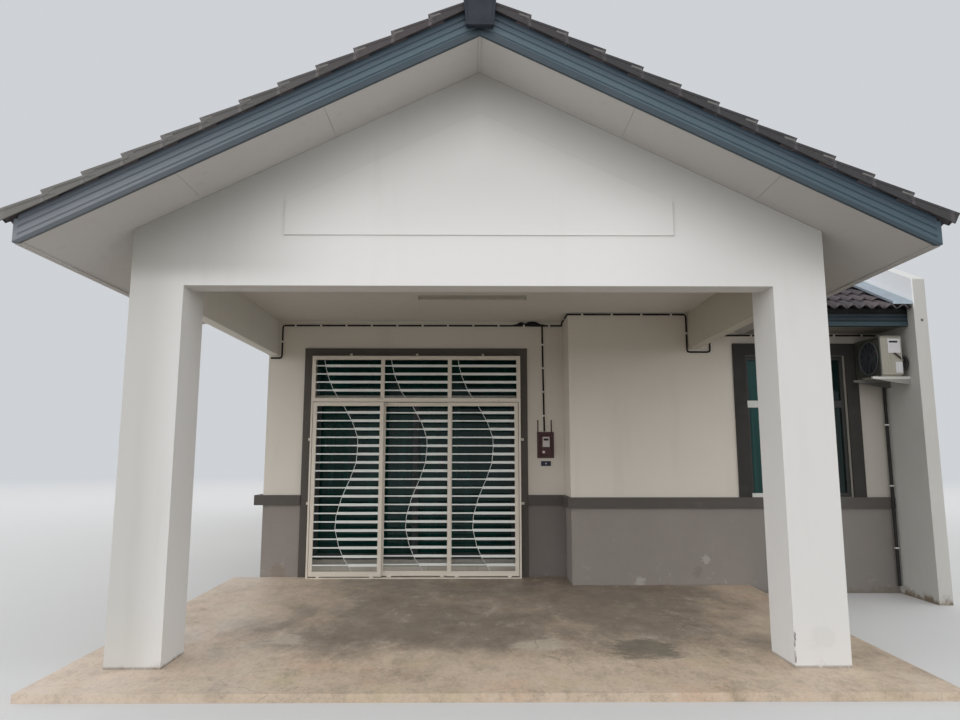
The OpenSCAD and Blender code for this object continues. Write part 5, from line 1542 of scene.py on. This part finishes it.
def main():
    set_camera()
    set_light()
    make_stage()

    white = plaster("porch_plaster", grime=0.7, panel=True, light=(226, 225, 224), dark=(219, 218, 216))
    house = plaster("house_plaster", dado=True, marks=(
        (1.85, WINDOW_WALL_Y, 0.13, 0.12, (206, 202, 194)),
        (2.62, WINDOW_WALL_Y, 0.38, 0.10, (206, 202, 194)),
        (2.52, WINDOW_WALL_Y, 0.24, 0.12, (116, 110, 104)), (-2.42, DOOR_WALL_Y, 0.17, 0.16, (128, 108, 88))),
        light=(223, 217, 207), dark=(213, 206, 196))
    party = plaster("party_wall_plaster", light=(204, 204, 200), dark=(184, 182, 177), grime=0.9,
                    lit_and_whiter_side=True)
    dress(white, "porch_column_left", "porch_front_beam", "porch_gable_wall", "porch_side_beams")
    dress(house, "front_wall_left_of_door", "front_wall_right_of_door", "front_wall_over_door",
          "front_wall_with_window", "left_wall", "back_wall")
    dress(party, "party_wall")
    dress(screed(), "porch_floor")
    dress(room_tiles(), "floor_slab")
    ceiling = board_paint("ceiling_paint", (216, 214, 208), (208, 205, 198), rough=0.7, dirt_share=0.1)
    soffit = board_paint("soffit_paint", (210, 208, 206), (200, 197, 195), rough=0.65, dirt_share=0.1,
                         shaded=(176, 173, 170))
    dress(ceiling, "porch_ceiling", "house_ceiling")
    # Painted shade: a darker copy of the soffit paint for the level soffit under the main eave
    shaded_level_soffit = board_paint("level_soffit_paint", (140, 136, 128), (124, 120, 112), rough=0.7,
                               dirt_share=0.3)
    dress(shaded_level_soffit, "main_soffit")
    band = board_paint("band_paint", (92, 87, 83), (80, 76, 72), rough=0.6, dirt=(126, 120, 112),
                       dirt_share=0.25)
    surround = board_paint("surround_paint", (90, 85, 80), (78, 73, 69), rough=0.6, dirt=(118, 112, 104),
                           dirt_share=0.2)
    # Painted shade: a darker copy of the surround paint for the window surrounds in the shaded right part
    shaded_surround = board_paint("window_surround_paint", (58, 55, 52), (50, 47, 44), rough=0.7,
                                dirt=(84, 78, 72), dirt_share=0.2)
    dress(band, "dado_band")
    dress(surround, "door_surround")
    dress(shaded_surround, "window_surrounds")
    dress(window_paint(), "window_frames")
    window = teal_glass("window_glass_teal", (22, 60, 58), (46, 98, 94), shaded_x=WINDOW_MIDDLE)
    dress(window, "window_glass")
    flashing = bright_metal("flashing_zinc", (199, 211, 220), (168, 180, 190), rough=0.55)
    dress(flashing, "roof_flashing")
    dress(bracket_paint(), "air_conditioner_brackets")
    grille = steel_paint("grille_enamel", (226, 218, 206), (212, 202, 188), rust=0.8, rust_z=2.25)
    dress(grille, "grille_frame", "grille_leaf_left", "grille_leaf_middle", "grille_leaf_right")

    blue = board_paint("barge_paint", (92, 110, 120), (82, 100, 110), grain_axis=0, rough=0.45,
                       dirt=(120, 124, 124), dirt_share=0.2, paler_left=(146, 148, 154), shaded=(70, 90, 102),
                       tile_shade=(58, 70, 84))
    shaded_blue = board_paint("shaded_fascia_paint", (34, 49, 56), (26, 39, 46), grain_axis=0, rough=0.6,
                              dirt=(58, 70, 74), dirt_share=0.3, tile_shadow_z=3.122)
    main_nose = MAIN_NOSE_Y + 0.006
    porch_tile = fired_tile("porch_roof_tile", "x", FIRST_NOSE, "y", VERGE_Y + 0.006)
    main_tile = fired_tile("main_roof_tile", "y", main_nose, "x", VERGE_X + 0.006)
    verge = fired_tile("porch_verge_tile", "x", FIRST_NOSE, "y", -5.0, (80, 78, 81), (60, 60, 64), False)
    main_verge = fired_tile("main_verge_tile", "y", main_nose, "x", -9.0, (80, 78, 81), (60, 60, 64), False)
    mortar = board_paint("verge_mortar", (134, 132, 130), (112, 110, 108), rough=0.85, dirt_share=0.4)
    cap = slate_cap("ridge_slate")
    under = board_paint("roof_underlay", (70, 64, 60), (54, 50, 47), rough=0.85)
    edge_metal = steel_paint("flashing_edge_white", (250, 251, 252), (242, 244, 246))
    make_roof(porch_tile, main_tile, verge, main_verge, cap, under, flashing, edge_metal, mortar)
    make_boards(blue, shaded_blue, soffit)
    make_soffit(soffit)
    make_right_column(white)
    make_grille(steel_paint("grille_bar_enamel", (236, 238, 236), (222, 225, 223), rust=0.12))
    door_metal = bright_metal("door_aluminium", (176, 174, 166), (156, 154, 146), rough=0.5)
    leaf_metal = steel_paint("door_leaf_bronze", (40, 50, 48), (30, 38, 37), rough=0.45)
    door_glass = teal_glass("door_glass_teal", (4, 40, 37), (10, 60, 55))
    dark = moulded("black_moulding", (38, 38, 40), (28, 28, 30))
    make_glass_door(door_metal, leaf_metal, door_glass, dark)
    case = cooler_paint()
    wrap = moulded("pipe_wrap", (44, 42, 42), (30, 30, 30), rough=0.7)
    cooler_plate = moulded("cooler_plate_white", (206, 204, 206), (192, 190, 192), rough=0.45)
    badge = moulded("rating_plate_brown", (92, 60, 54), (74, 48, 44), rough=0.5)
    fan = moulded("fan_grey", (40, 46, 52), (24, 27, 31), rough=0.35)
    pipe_clip = steel_paint("clip_enamel", (216, 214, 208), (200, 198, 192))
    fan_guard = moulded("fan_guard_grey", (112, 118, 122), (92, 97, 101), rough=0.4)
    make_cooler(case, cooler_plate, badge, fan, fan_guard, dark, wrap, pipe_clip)
    maroon = moulded("meter_maroon", (80, 38, 40), (62, 30, 32), rough=0.4)
    pale = moulded("meter_face_pale", (206, 198, 196), (190, 182, 180), rough=0.35)
    plate = moulded("house_plate_blue", (26, 24, 58), (20, 18, 44), rough=0.4)
    make_meter(maroon, pale, dark, plate)
    sheath = moulded("cable_black", (18, 16, 15), (10, 9, 9), rough=0.75)
    make_cable(sheath, moulded("clip_white", (236, 234, 230), (222, 220, 216)))
    # Painted shade: the white lamp body and tube are given grey colours for the shade on their undersides
    make_lamp(steel_paint("lamp_enamel", (168, 164, 154), (154, 150, 140)),
              moulded("lamp_tube_white", (186, 182, 172), (176, 172, 162), rough=0.3))
    make_back_door(steel_paint("back_door_enamel", (150, 156, 158), (136, 142, 144)),
                   bright_metal("handle_steel", (190, 190, 188), (160, 160, 158), rough=0.3))


main()
